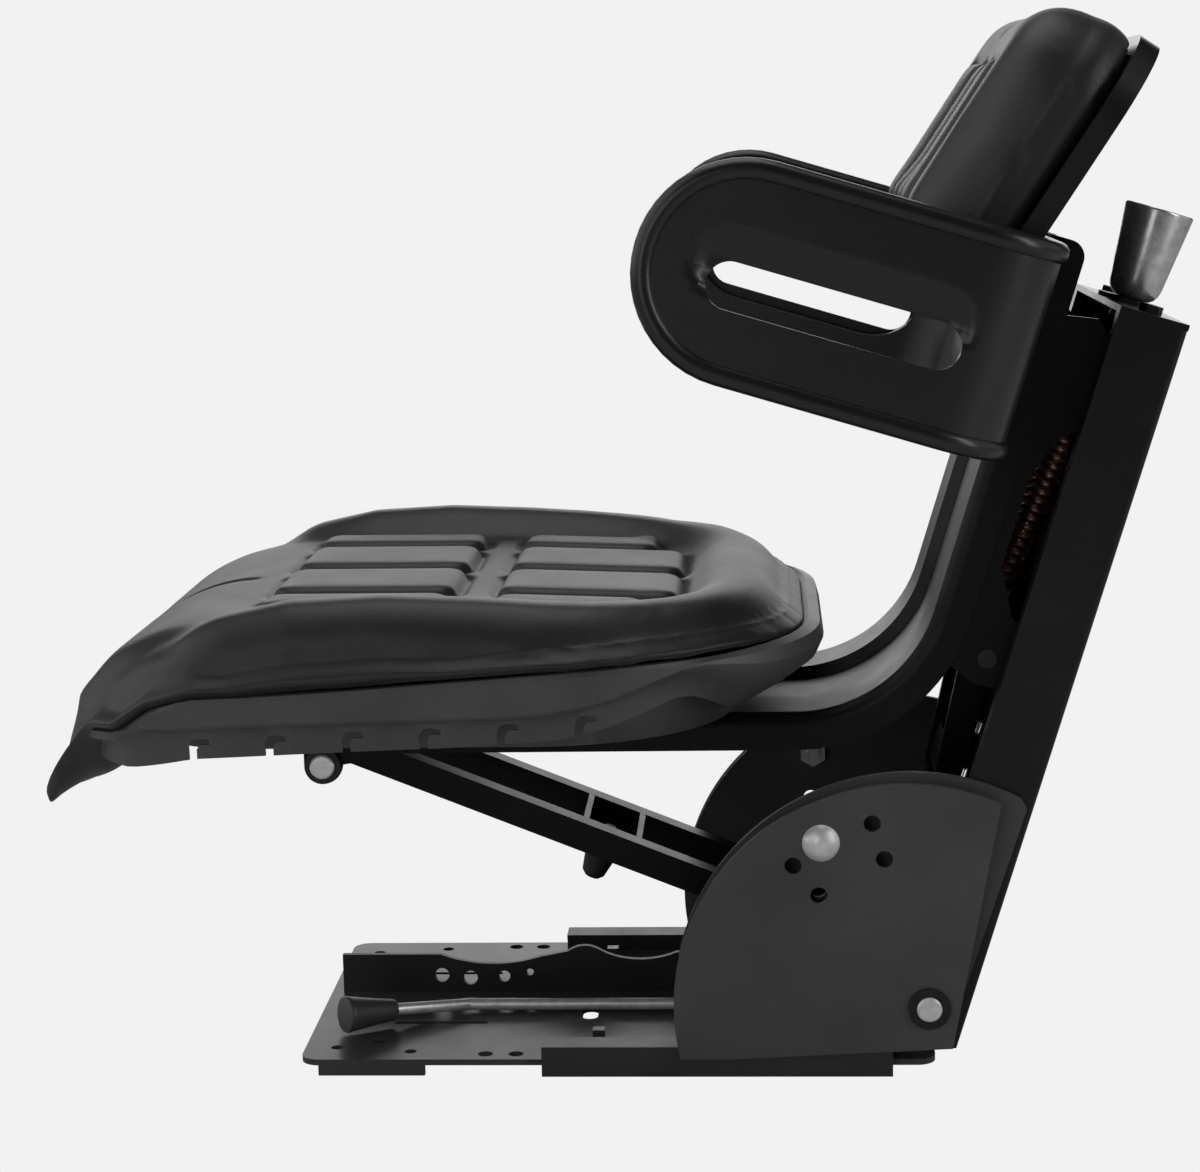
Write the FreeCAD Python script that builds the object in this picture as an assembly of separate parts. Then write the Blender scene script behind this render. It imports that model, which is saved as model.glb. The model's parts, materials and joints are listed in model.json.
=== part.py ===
import FreeCAD, Part
import math
import os
from FreeCAD import Vector

# Machine seat on a sprung, leaning tower. Millimetres, +Z up.
# X runs across the seat, +X is the sitter's left. The sitter looks towards -Y.
# The origin is the centre of the base plate's hole pattern, on the face it rests on.

# Base plate and slide rails
PLATE_LENGTH = 414.0
PLATE_SHEET = 4.0
PLATE_LIFT = 7.0
LIP_LENGTH = 82.0
PLATE_CORNER = 12.0
RAIL_HALF = 133.0
RAIL_SHEET = 3.0
RAIL_FRONT = -48.0
RAIL_LENGTH = 227.0
RAIL_TOP = 21.0
RAIL_FLOOR_GAP = 1.0
RAIL_SHELF = 17.0
RUNNER_WALL = 2.0
SLIDE_CLEAR = 0.3
BOLT_X = 180.0
BOLT_Y = 320.0
BOLT_HOLE_R = 5.5
BOSS_R = 16.0
SLOT_R = 2.5
STOP_X = 90.0
STOP_Y = -13.0

# Lock rack and slide lever
RACK_X = -15.0
RACK_SHEET = 4.0
RACK_HEIGHT = 27.0
RACK_LOW = 9.0
RACK_STEP_Y = 60.0
RACK_END_GAP = 8.0
LOCK_PITCH = 15.0
LOCK_SLOT = 8.5
LOCK_SLOTS = 7
LOCK_FIRST = -4
LEVER_R = 4.0
LEVER_X = 30.0
LEVER_PIVOT_Y = 112.0
LEVER_REACH = 262.0
LEVER_CRANK = 25.0
TOOTH_OFFSET = 50.0
TOOTH_LEAD = 1.6
TOOTH_WIDTH = 4.0
TOOTH_DRAWN_BACK = 0.6
GRIP_LENGTH = 42.0
GRIP_SPREAD = 24.0
GRIP_FRONT_R = 12.5
GRIP_REAR_R = 7.0
CROSS_FRONT = 66.0
CROSS_LENGTH = 106.0
CROSS_SHEET = 3.0
NOTCH_CLEAR = 2.5
SLIDE_FORWARD = 60.0

# Pivot, tower and side plates
LEAN = 17.0
PIVOT_Y = 202.0
PIVOT_Z = 48.0
PIN_R = 8.0
RUN_FIT = 0.05
TOWER_HALF = 118.0
TOWER_SHEET = 3.0
TOWER_FRONT = -16.0
TOWER_REAR = 28.0
TOWER_FOOT = -27.0
TOWER_TOP = 456.0
TOWER_LIP = 14.0
TOP_SHEET = 4.0
SIDE_SHEET = 4.0
SIDE_RADIUS = 147.5
SIDE_CENTRE_Y = 186.0
TILT_RADIUS = 151.5
TILT_CENTRE_Y = 190.0
TILT_FLOOR = 28.0
ADJUST_R = 129.0
ADJUST_INNER_R = 102.5
ADJUST_ANGLE = 122.0
CARRIAGE_BOLT_R = 5.0
BOLT_HEAD_R = 12.0
BOLT_HEAD = 6.0
PIN_OVERHANG = 4.0
RING_R = 13.5
RING_SHEET = 2.0

# Suspension
STROKE = 75.0
ROLLER_R = 18.0
ROLLER_WIDTH = 9.0
ROLLER_CLEAR = 0.4
AXLE_R = 6.0
UPPER_ROLLER = 402.0
LOWER_ROLLER = 222.0
CARRIAGE_SHEET = 3.5
KNOB_TOP_R = 23.0
KNOB_FOOT_R = 17.8
KNOB_HEIGHT = 61.0
WASHER_R = 22.0
WASHER_SHEET = 3.0
SCREW_R = 6.0
SCREW_LENGTH = 118.0
YOKE_HALF = 36.0
YOKE_THICK = 12.0
YOKE_DROP = 76.0
SPRING_X = 25.0
SPRING_R = 10.0
SPRING_WIRE = 4.4
SPRING_TURNS = 21
HOOK_R = 2.2
HOOK_LENGTH = 10.0
HOOK_GAP = 0.3
YOKE_PIN_R = 2.5
ANCHOR_A = 222.0
ANCHOR_N = -27.0
DAMPER_R = 11.0
DAMPER_ROD_R = 4.5
DAMPER_N = -2.0

# Seat frame, the pressed L that carries seat and back
FRAME_HALF = 105.0
FRAME_SHEET = 3.5
FRAME_FLANGE = 23.5
FRAME_TOP_Z = 234.0
FRAME_FRONT = -168.0
FRAME_BEND = 93.0
FRAME_N = -68.0
FRAME_TOP_A = 490.0
FRAME_CORNER = 9.0
FRAME_END_R = 11.0
CHANNEL_HALF = 40.0
CHANNEL_DEPTH = 6.5
CHANNEL_SLOPE = 9.0

# Swing arms
ARM_PIN_Y = -187.0
ARM_PIN_Z = 204.0
ARM_X = 40.0
ARM_HEIGHT = 19.0
ARM_WIDTH = 16.0
ARM_WALL = 2.5
ARM_PLATE_FROM = 205.0
ARM_PLATE_LENGTH = 42.0
ARM_PLATE_SHEET = 4.0
HUB_R = 13.0
BUMP_R = 13.0
BUMP_END_R = 8.0
BUMP_LENGTH = 27.0
EAR_SHEET = 4.0
EAR_R = 12.5
PIN_SLACK = 2.5
PIN_PLAY = 0.4

# Seat
SEAT_HALF = 238.0
SEAT_FRONT = -336.0
SEAT_REAR = 128.0
SEAT_CREST = 329.0
SEAT_SAG = 14.0
PAN_SHEET = 2.5
PAN_RIM_Z = 276.0
PAN_STEP_Z = 256.0
PAN_FOOT_Z = 237.0
PAN_INSET = 5.0
PAN_STEP = 9.0
PAN_LEDGE = 42.0
PAN_FRONT_R = 105.0
PAN_REAR_R = 168.0
NOTCHES = 6
NOTCH_FIRST = -250.0
NOTCH_PITCH = 47.0
SOFT_CLEAR = 0.3

# Wrap-around arm and hip band
WING_HALF = 235.0
WING_NOSE_N = -312.0
WING_DROP = 136.0
WING_HEIGHT = 134.0
WING_SHEET = 4.0
WING_CORNER = 46.0
WING_SLOT_RISE = 53.0
WING_SLOT_HALF = 21.0
WING_SLOT_FRONT = -266.0
WING_SLOT_REAR = -113.0
SCOOP_RISE = 22.0
SCOOP_DEPTH = 7.0
SCOOP_WALL = 6.0
TRIM_OUT = 3.0
TRIM_IN = 9.0
TRIM_WIDTH = 9.0
LINING = 15.0

# Back rest
BACK_LEAN = 33.5
BACK_RISE = 4.4
BACK_N = -75.9
BACK_HALF = 152.0
BACK_BELOW = 66.0
BACK_ABOVE = 127.0
BACK_SHELL = 14.0
BACK_PAD = 65.0
BACK_CORNER = 52.0
BACK_RIM = 4.0
SMALL_BOLT_R = 4.0
SMALL_HEAD_R = 7.5
SMALL_HEAD = 5.0

lean_sin = math.sin(math.radians(LEAN))
lean_cos = math.cos(math.radians(LEAN))
plate_top = PLATE_LIFT + PLATE_SHEET
rail_inner = RAIL_HALF - RAIL_SHEET
plate_half = rail_inner - RUNNER_WALL - SLIDE_CLEAR
side_outer = RAIL_HALF + SIDE_SHEET
tilt_outer = TOWER_HALF + SIDE_SHEET
cross_top = RAIL_TOP + CROSS_SHEET
lever_z = RAIL_TOP - LEVER_R - 1.0
tower_middle = (TOWER_FRONT + TOWER_REAR) / 2
yoke_position = TOWER_TOP - YOKE_DROP
wing_low_a = FRAME_TOP_A - WING_DROP
wing_mid_a = wing_low_a + WING_HEIGHT / 2
wing_slot_a = wing_low_a + WING_SLOT_RISE
seat_low = PAN_FOOT_Z - 40
seat_high = SEAT_CREST + 40
seat_length = SEAT_REAR - SEAT_FRONT


def at(along, across, x=0.0):
    """Point of the leaning tower: along its axis and across it, from the pivot."""
    y = PIVOT_Y + along * lean_sin + across * lean_cos
    z = PIVOT_Z + along * lean_cos - across * lean_sin
    return Vector(x, y, z)


def tower_axis():
    return Vector(0, lean_sin, lean_cos)


def tower_across():
    return Vector(0, lean_cos, -lean_sin)


def face(start, steps):
    """Closed flat face: each step is (end) for a line or (middle, end) for an arc."""
    edges = []
    here = start
    for step in steps:
        if len(step) == 1:
            edges.append(Part.makeLine(here, step[0]))
        else:
            edges.append(Part.Arc(here, step[0], step[1]).toShape())
        here = step[-1]
    if here.distanceToPoint(start) > 1e-6:
        edges.append(Part.makeLine(here, start))
    return Part.Face(Part.Wire(edges))


def across_x(points, x_low, x_high):
    """Side outline of (y, z) points, or three-point arcs, swept across X."""
    start = Vector(x_low, *points[0])
    steps = []
    for point in points[1:]:
        if isinstance(point[0], tuple):
            steps.append([Vector(x_low, *corner) for corner in point])
        else:
            steps.append([Vector(x_low, *point)])
    return face(start, steps).extrude(Vector(x_high - x_low, 0, 0))


def strip(points, x_low, x_high):
    """Side outline of (along, across) tower points swept across X."""
    corners = [at(along, across, x_low) for along, across in points]
    return face(corners[0], [[corner] for corner in corners[1:]]).extrude(Vector(x_high - x_low, 0, 0))


def bar(radius, centre, x_low, x_high):
    """Round bar along X through a side point."""
    return Part.makeCylinder(radius, x_high - x_low, Vector(x_low, centre[0], centre[1]), Vector(1, 0, 0))


def side_point(along, across):
    place = at(along, across)
    return (place.y, place.z)


def polar(radius, degrees):
    """Side point on a circle about the pivot, angle from +Y."""
    turn = math.radians(degrees)
    return (PIVOT_Y + radius * math.cos(turn), PIVOT_Z + radius * math.sin(turn))


def block(x0, x1, y0, y1, z0, z1):
    return Part.makeBox(x1 - x0, y1 - y0, z1 - z0, Vector(x0, y0, z0))


def mirrored(shape):
    """The same piece on the other side of the seat."""
    return shape.mirror(Vector(0, 0, 0), Vector(1, 0, 0))


def hexagon(radius, height, base, direction):
    """Hexagon head or nut standing on a point."""
    side = direction.cross(Vector(1, 0, 0))
    if side.Length < 0.1:
        side = direction.cross(Vector(0, 1, 0))
    side.normalize()
    other = direction.cross(side).normalize()
    corners = []
    for index in range(6):
        turn = math.pi * index / 3
        corners.append(base + side * (radius * math.cos(turn)) + other * (radius * math.sin(turn)))
    return face(corners[0], [[corner] for corner in corners[1:]]).extrude(direction * height)


def plate_slot(x, y, length, along_y):
    """Slot cutter through the base plate, narrow ones along Y, wide ones across."""
    radius = SLOT_R if along_y else BOLT_HOLE_R
    half = length / 2 - radius
    low = PLATE_LIFT - 1
    tall = PLATE_SHEET + 2
    dx = 0 if along_y else half
    dy = half if along_y else 0
    body = block(x - max(dx, radius * along_y), x + max(dx, radius * along_y),
                 y - max(dy, radius * (not along_y)), y + max(dy, radius * (not along_y)), low, low + tall)
    ends = [Part.makeCylinder(radius, tall, Vector(x + sign * dx, y + sign * dy, low)) for sign in (-1, 1)]
    return body.fuse(ends).removeSplitter()


def lower_plate():
    half = PLATE_LENGTH / 2
    plate = block(-plate_half, plate_half, -half, half, PLATE_LIFT, plate_top)
    corners = [edge for edge in plate.Edges if abs(edge.Vertexes[0].Z - edge.Vertexes[-1].Z) > 1]
    plate = plate.makeFillet(PLATE_CORNER, corners)
    # turned-down lips along the front of both long edges
    lip_start = -half + PLATE_CORNER
    for side in (-1, 1):
        inner = side * (plate_half - PLATE_SHEET)
        outer = side * plate_half
        lip = block(min(inner, outer), max(inner, outer), lip_start, -half + LIP_LENGTH, 0, PLATE_LIFT)
        plate = plate.fuse(lip)
    # pressed feet with the bolt holes
    for x in (-BOLT_X / 2, BOLT_X / 2):
        for y in (-BOLT_Y / 2, BOLT_Y / 2):
            foot = Part.makeCone(BOSS_R, BOSS_R + PLATE_LIFT / 2, PLATE_LIFT, Vector(x, y, 0))
            plate = plate.fuse(foot)
    for x in (-BOLT_X / 2, BOLT_X / 2):
        for y in (-BOLT_Y / 2, BOLT_Y / 2):
            plate = plate.cut(Part.makeCylinder(BOLT_HOLE_R, 2 * plate_top, Vector(x, y, -1)))
    # spare holes and slots as the sheet has them
    for x, y, radius in plate_spare_holes():
        plate = plate.cut(Part.makeCylinder(radius, 2 * PLATE_SHEET, Vector(x, y, PLATE_LIFT - PLATE_SHEET)))
    for x, y, length, along_y in plate_slots():
        plate = plate.cut(plate_slot(x, y, length, along_y))
    # two pressed tabs that stop the rails
    for side in (-1, 1):
        plate = plate.fuse(block(side * STOP_X - 4, side * STOP_X + 4, STOP_Y - 4, STOP_Y + 4, plate_top, RAIL_TOP - 2))
    return plate.removeSplitter()


def plate_spare_holes():
    """Spare holes: place and radius, the same on both sides."""
    near = [(104.0, -186.0, 4.0), (112.0, -136.0, 4.0), (117.0, -86.0, 5.0), (117.0, -66.0, 5.0)]
    return near + [(-x, y, radius) for x, y, radius in near]


def plate_slots():
    """Slots: place, length, and whether they run along Y."""
    return [(54.0, -122.0, 64.0, True), (-54.0, -122.0, 64.0, True), (34.0, -22.0, 26.0, False),
            (-54.0, -22.0, 26.0, False)]


def lock_rack():
    """Upright wall with a waved top edge, low and notched where the bridge passes over."""
    half = PLATE_LENGTH / 2 - RACK_END_GAP
    top = plate_top + RACK_HEIGHT
    low = plate_top + RACK_LOW
    outline = [(-half, plate_top), (half, plate_top), (half, low), (RACK_STEP_Y + 8, low), (RACK_STEP_Y, low + 8)]
    outline += [(RACK_STEP_Y, top + 1), (36.0, top + 1), ((13.0, top - 4), (-12.0, top)), (-18.0, top + 3)]
    outline += [((-29.0, top + 6), (-40.0, top + 2)), (-60.0, top - 2), ((-92.0, top - 7), (-130.0, top)), (-half, top)]
    rack = across_x(outline, RACK_X - RACK_SHEET / 2, RACK_X + RACK_SHEET / 2)
    for y, z, radius in ((-129.0, 23.0, 5.0), (-109.0, 21.0, 5.0), (-85.0, 22.0, 4.0), (-67.0, 25.0, 2.5)):
        rack = rack.cut(bar(radius, (y, z), RACK_X - RACK_SHEET, RACK_X + RACK_SHEET))
    for index in range(LOCK_SLOTS):
        y = tooth_y() - TOOTH_LEAD + LOCK_PITCH * (index + LOCK_FIRST)
        notch = block(RACK_X - RACK_SHEET, RACK_X + RACK_SHEET, y - LOCK_SLOT / 2, y + LOCK_SLOT / 2,
                      plate_top + 1.5, low + 1)
        rack = rack.cut(notch)
    return rack


def tooth_y():
    return LEVER_PIVOT_Y + TOOTH_OFFSET


def rail(side):
    """C rail that wraps the edge of the base plate."""
    y0 = RAIL_FRONT
    y1 = RAIL_FRONT + RAIL_LENGTH
    body = block(rail_inner - RAIL_SHELF, RAIL_HALF, y0, y1, RAIL_FLOOR_GAP, RAIL_TOP)
    inside = block(0, rail_inner, y0 - 1, y1 + 1, RAIL_FLOOR_GAP + RAIL_SHEET, RAIL_TOP - RAIL_SHEET)
    body = body.cut(inside)
    return body if side > 0 else mirrored(body)


def runner(side):
    """Nylon runner inside the rail, grooved for the plate's edge."""
    y0 = RAIL_FRONT
    y1 = RAIL_FRONT + RAIL_LENGTH
    body = block(rail_inner - RAIL_SHELF + 2, rail_inner, y0, y1, RAIL_FLOOR_GAP + RAIL_SHEET, RAIL_TOP - RAIL_SHEET)
    groove = block(0, plate_half + SLIDE_CLEAR, y0 - 1, y1 + 1, PLATE_LIFT - SLIDE_CLEAR, plate_top + SLIDE_CLEAR)
    body = body.cut(groove)
    return body if side > 0 else mirrored(body)


def cross_plate():
    """Bridge over the two rails, under the tower's foot."""
    y1 = CROSS_FRONT + CROSS_LENGTH
    plate = block(-RAIL_HALF, RAIL_HALF, CROSS_FRONT, y1, RAIL_TOP, cross_top)
    plate = plate.cut(Part.makeCylinder(LEVER_R + 0.1, 2 * CROSS_SHEET, Vector(LEVER_X, LEVER_PIVOT_Y, RAIL_TOP - 1)))
    # the notch lets the bridge run forward past the rack
    half = RACK_SHEET / 2 + NOTCH_CLEAR
    notch = block(RACK_X - half, RACK_X + half, CROSS_FRONT - 1, RACK_STEP_Y + SLIDE_FORWARD + 8, RAIL_TOP - 1, cross_top + 1)
    return plate.cut(notch)


def rear_edge():
    """Side point where the outer side plate's arc ends, high on the rear edge."""
    turn = math.radians(65.4)
    return (SIDE_CENTRE_Y + SIDE_RADIUS * math.cos(turn), PIVOT_Z + SIDE_RADIUS * math.sin(turn))


def side_plate(side):
    """Outer quadrant plate that stands on the rail's outer face."""
    low = RAIL_TOP - 7
    drop = PIVOT_Z - low
    front = SIDE_CENTRE_Y - math.sqrt(SIDE_RADIUS ** 2 - drop ** 2)
    turn = math.radians(135)
    middle = (SIDE_CENTRE_Y + SIDE_RADIUS * math.cos(turn), PIVOT_Z + SIDE_RADIUS * math.sin(turn))
    foot = PIVOT_Y + 15
    outline = [(front, low), (middle, rear_edge()), (foot, low + 7), (front + 30, low)]
    plate = across_x(outline, RAIL_HALF, side_outer)
    plate = plate.cut(bar(PIN_R, (PIVOT_Y, PIVOT_Z), RAIL_HALF - 1, side_outer + 1))
    plate = plate.cut(bar(CARRIAGE_BOLT_R, polar(ADJUST_R, ADJUST_ANGLE), RAIL_HALF - 1, side_outer + 1))
    for place in adjust_holes():
        plate = plate.cut(bar(CARRIAGE_BOLT_R + 0.5, place, RAIL_HALF - 1, side_outer + 1))
    return plate if side > 0 else mirrored(plate)


def adjust_holes():
    """Spare tilt holes of the outer plates."""
    holes = [polar(ADJUST_R - 2, 106.4), polar(ADJUST_R - 1, 132.3)]
    holes += [polar(ADJUST_INNER_R, 106.0), polar(ADJUST_INNER_R, 133.0)]
    return holes


def tilt_plate(side):
    """Inner quadrant plate on the tower's wall, clamped by the adjusting bolt."""
    turn = math.radians(168)
    start = (TILT_CENTRE_Y + TILT_RADIUS * math.cos(turn), PIVOT_Z + TILT_RADIUS * math.sin(turn))
    turn = math.radians(115)
    middle = (TILT_CENTRE_Y + TILT_RADIUS * math.cos(turn), PIVOT_Z + TILT_RADIUS * math.sin(turn))
    turn = math.radians(62)
    end = (TILT_CENTRE_Y + TILT_RADIUS * math.cos(turn), PIVOT_Z + TILT_RADIUS * math.sin(turn))
    foot = side_point((TILT_FLOOR - PIVOT_Z + (TOWER_REAR - 8) * lean_sin) / lean_cos, TOWER_REAR - 8)
    outline = [start, (middle, end), side_point(140.0, TOWER_REAR - 5), foot, (start[0] + 24, TILT_FLOOR)]
    plate = across_x(outline, TOWER_HALF, tilt_outer)
    plate = plate.cut(bar(PIN_R, (PIVOT_Y, PIVOT_Z), TOWER_HALF - 1, tilt_outer + 1))
    plate = plate.cut(bar(CARRIAGE_BOLT_R, polar(ADJUST_R, ADJUST_ANGLE), TOWER_HALF - 1, tilt_outer + 1))
    plate = plate.cut(bar(CARRIAGE_BOLT_R + 0.5, polar(ADJUST_INNER_R, 133.0), TOWER_HALF - 1, tilt_outer + 1))
    return plate if side > 0 else mirrored(plate)


def tower():
    """Folded channel, open to the front, with lips that hold the rollers."""
    outer = strip([(TOWER_FOOT, TOWER_FRONT), (TOWER_FOOT, TOWER_REAR), (TOWER_TOP, TOWER_REAR),
                   (TOWER_TOP, TOWER_FRONT)], -TOWER_HALF, TOWER_HALF)
    inner_half = TOWER_HALF - TOWER_SHEET
    inside = strip([(TOWER_FOOT - 1, TOWER_FRONT + TOWER_SHEET), (TOWER_FOOT - 1, TOWER_REAR - TOWER_SHEET),
                    (TOWER_TOP + 1, TOWER_REAR - TOWER_SHEET), (TOWER_TOP + 1, TOWER_FRONT + TOWER_SHEET)],
                   -inner_half, inner_half)
    mouth_half = TOWER_HALF - TOWER_LIP
    mouth = strip([(TOWER_FOOT - 1, TOWER_FRONT - 1), (TOWER_FOOT - 1, TOWER_FRONT + TOWER_SHEET + 1),
                   (TOWER_TOP + 1, TOWER_FRONT + TOWER_SHEET + 1), (TOWER_TOP + 1, TOWER_FRONT - 1)],
                  -mouth_half, mouth_half)
    body = outer.cut(inside).cut(mouth)
    # the folded corners at the back are rounded
    folds = [edge for edge in body.Edges if edge.Length > 400 and abs(abs(edge.Vertexes[0].X) - TOWER_HALF) < 0.1
             and fold_is_rear(edge)]
    body = body.makeFillet(TOWER_SHEET + 1, folds)
    body = body.cut(bar(PIN_R, (PIVOT_Y, PIVOT_Z), -TOWER_HALF - 1, TOWER_HALF + 1))
    return body


def fold_is_rear(edge):
    place = edge.Vertexes[0].Point - at(0, 0)
    return place.dot(tower_across()) > tower_middle


def top_plate():
    """Cap of the tower, with the hole that the adjuster hangs in."""
    cap = strip([(TOWER_TOP, TOWER_FRONT), (TOWER_TOP, TOWER_REAR), (TOWER_TOP + TOP_SHEET, TOWER_REAR),
                 (TOWER_TOP + TOP_SHEET, TOWER_FRONT)], -TOWER_HALF, TOWER_HALF)
    hole = Part.makeCylinder(SCREW_R + RUN_FIT, 4 * TOP_SHEET, at(TOWER_TOP - TOP_SHEET, tower_middle), tower_axis())
    cap = cap.cut(hole)
    for x in (-top_bolt_x(), top_bolt_x()):
        cap = cap.cut(Part.makeCylinder(SMALL_BOLT_R, 4 * TOP_SHEET, at(TOWER_TOP - TOP_SHEET, tower_middle, x),
                                        tower_axis()))
    return cap


def top_bolt_x():
    return TOWER_HALF - 26


def top_bolts():
    """Two bolts that hold the cap to tabs inside the tower."""
    pieces = []
    for x in (-top_bolt_x(), top_bolt_x()):
        head = hexagon(SMALL_HEAD_R, SMALL_HEAD, at(TOWER_TOP + TOP_SHEET, tower_middle, x), tower_axis())
        shank = Part.makeCylinder(SMALL_BOLT_R, TOP_SHEET, at(TOWER_TOP, tower_middle, x), tower_axis())
        nut = hexagon(SMALL_HEAD_R, SMALL_HEAD, at(TOWER_TOP - SMALL_HEAD, tower_middle, x), tower_axis())
        pieces.append(head.fuse([shank, nut]).removeSplitter())
    return Part.makeCompound(pieces)


def pivot_pin():
    end = side_outer + PIN_OVERHANG
    pin = bar(PIN_R, (PIVOT_Y, PIVOT_Z), -end, end)
    rims = [edge for edge in pin.Edges if edge.Length < 60 and abs(abs(edge.CenterOfMass.x) - end) < 0.1]
    return pin.makeChamfer(1.0, rims)


def rings(centre, inner, outer, x_low, x_high):
    """A ring on each side, around one pin."""
    ring = bar(outer, centre, x_low, x_high).cut(bar(inner, centre, x_low - 1, x_high + 1))
    return Part.makeCompound([ring, mirrored(ring)])


def pivot_rings():
    return rings((PIVOT_Y, PIVOT_Z), PIN_R, RING_R, side_outer, side_outer + RING_SHEET)


def plate_spacers():
    """Bushes between the two plates of each side, on the pivot pin and on the tilt bolt."""
    pivot = rings((PIVOT_Y, PIVOT_Z), PIN_R, RING_R, tilt_outer, RAIL_HALF)
    tilt = rings(polar(ADJUST_R, ADJUST_ANGLE), CARRIAGE_BOLT_R, 2 * CARRIAGE_BOLT_R, tilt_outer, RAIL_HALF)
    return Part.makeCompound(pivot.Solids + tilt.Solids)


def carriage_bolts():
    """Round-headed bolts that set the tilt, one each side."""
    place = polar(ADJUST_R, ADJUST_ANGLE)
    sphere_r = (BOLT_HEAD_R ** 2 + BOLT_HEAD ** 2) / (2 * BOLT_HEAD)
    ball = Part.makeSphere(sphere_r, Vector(side_outer + BOLT_HEAD - sphere_r, place[0], place[1]))
    head = ball.common(bar(BOLT_HEAD_R + 1, place, side_outer, side_outer + 2 * BOLT_HEAD))
    shank = bar(CARRIAGE_BOLT_R, place, TOWER_HALF - 9, side_outer)
    bolt = head.fuse(shank).removeSplitter()
    return Part.makeCompound([bolt, mirrored(bolt)])


def carriage_nuts():
    place = polar(ADJUST_R, ADJUST_ANGLE)
    nut = hexagon(2 * CARRIAGE_BOLT_R, 7.0, Vector(TOWER_HALF - 7, place[0], place[1]), Vector(1, 0, 0))
    nut = nut.cut(bar(CARRIAGE_BOLT_R, place, TOWER_HALF - 8, TOWER_HALF + 1))
    return Part.makeCompound([nut, mirrored(nut)])


def turned(profile, foot, direction):
    """Body of revolution: (radius, height) points about an axis that leans with the tower."""
    points = [Vector(radius, 0, height) for radius, height in profile]
    body = face(points[0], [[point] for point in points[1:]]).revolve(Vector(0, 0, 0), Vector(0, 0, 1), 360)
    body.Placement = FreeCAD.Placement(foot, FreeCAD.Rotation(Vector(0, 0, 1), direction))
    return body


def thrust_washer():
    profile = [(SCREW_R + RUN_FIT, 0), (WASHER_R, 0), (WASHER_R, WASHER_SHEET), (SCREW_R + RUN_FIT, WASHER_SHEET)]
    return turned(profile, at(TOWER_TOP + TOP_SHEET, tower_middle), tower_axis())


def knob_foot():
    return TOWER_TOP + TOP_SHEET + WASHER_SHEET


def knob():
    """Tapered weight knob with a rounded foot, wider at the top."""
    sink = 40.0
    profile = [(SCREW_R, 0), (KNOB_FOOT_R - 8, 0), (KNOB_FOOT_R - 3, 2), (KNOB_FOOT_R - 0.6, 7),
               (KNOB_FOOT_R, 10), (KNOB_TOP_R, KNOB_HEIGHT - 2), (KNOB_TOP_R - 1.5, KNOB_HEIGHT),
               (0, KNOB_HEIGHT), (0, sink), (SCREW_R, sink)]
    return turned(profile, at(knob_foot(), tower_middle), tower_axis())


def adjuster_screw():
    """Screw from inside the knob down through the yoke, with a collar under the cap."""
    top = knob_foot() + 40.0
    bottom = top - SCREW_LENGTH - 40.0
    collar = TOWER_TOP - bottom
    profile = [(0, 0), (SCREW_R - 1, 0), (SCREW_R, 1), (SCREW_R, collar - 6.3), (SCREW_R + 5, collar - 6.3),
               (SCREW_R + 5, collar - 0.3), (SCREW_R, collar - 0.3), (SCREW_R, top - bottom), (0, top - bottom)]
    return turned(profile, at(bottom, tower_middle), tower_axis())


def yoke():
    """Cross bar that climbs the screw and pulls the springs."""
    low = yoke_position - YOKE_THICK / 2
    front = spring_top_n() - 7
    bar_body = strip([(low, front), (low, tower_middle + 13), (low + YOKE_THICK, tower_middle + 13),
                      (low + YOKE_THICK, front)], -YOKE_HALF, YOKE_HALF)
    bore = Part.makeCylinder(SCREW_R + RUN_FIT, 3 * YOKE_THICK, at(low - YOKE_THICK, tower_middle), tower_axis())
    bar_body = bar_body.cut(bore)
    for side in (-1, 1):
        slot = strip([(low - 1, spring_top_n() - 4), (low - 1, spring_top_n() + 4),
                      (low + YOKE_THICK + 1, spring_top_n() + 4), (low + YOKE_THICK + 1, spring_top_n() - 4)],
                     side * SPRING_X - 3, side * SPRING_X + 3)
        bar_body = bar_body.cut(slot)
    pin = bar(YOKE_PIN_R, side_point(yoke_position, spring_top_n()), -YOKE_HALF, YOKE_HALF)
    return bar_body.fuse(pin).removeSplitter()


def spring_top_n():
    return -9.0


def spring(side):
    """Close-wound tension spring: ridged coil body with a hook wire at both ends."""
    anchor = at(ANCHOR_A, ANCHOR_N, side * SPRING_X)
    pin = at(yoke_position, spring_top_n(), side * SPRING_X)
    direction = (pin - anchor).normalize()
    low = anchor + direction * (AXLE_R + HOOK_GAP)
    top = pin - direction * (YOKE_PIN_R + HOOK_GAP)
    length = (top - low).Length
    pitch = (length - 2 * HOOK_LENGTH) / SPRING_TURNS
    profile = [(0, HOOK_LENGTH)]
    for turn in range(SPRING_TURNS):
        start = HOOK_LENGTH + turn * pitch
        profile.append((SPRING_R - SPRING_WIRE / 2, start))
        profile.append((SPRING_R, start + pitch / 2))
    profile.append((SPRING_R - SPRING_WIRE / 2, length - HOOK_LENGTH))
    profile.append((0, length - HOOK_LENGTH))
    body = turned(profile, low, direction)
    lower_hook = Part.makeCylinder(HOOK_R, HOOK_LENGTH + 1, low, direction)
    upper_hook = Part.makeCylinder(HOOK_R, HOOK_LENGTH + 1, top - direction * (HOOK_LENGTH + 1), direction)
    return body.fuse([lower_hook, upper_hook]).removeSplitter()


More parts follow.
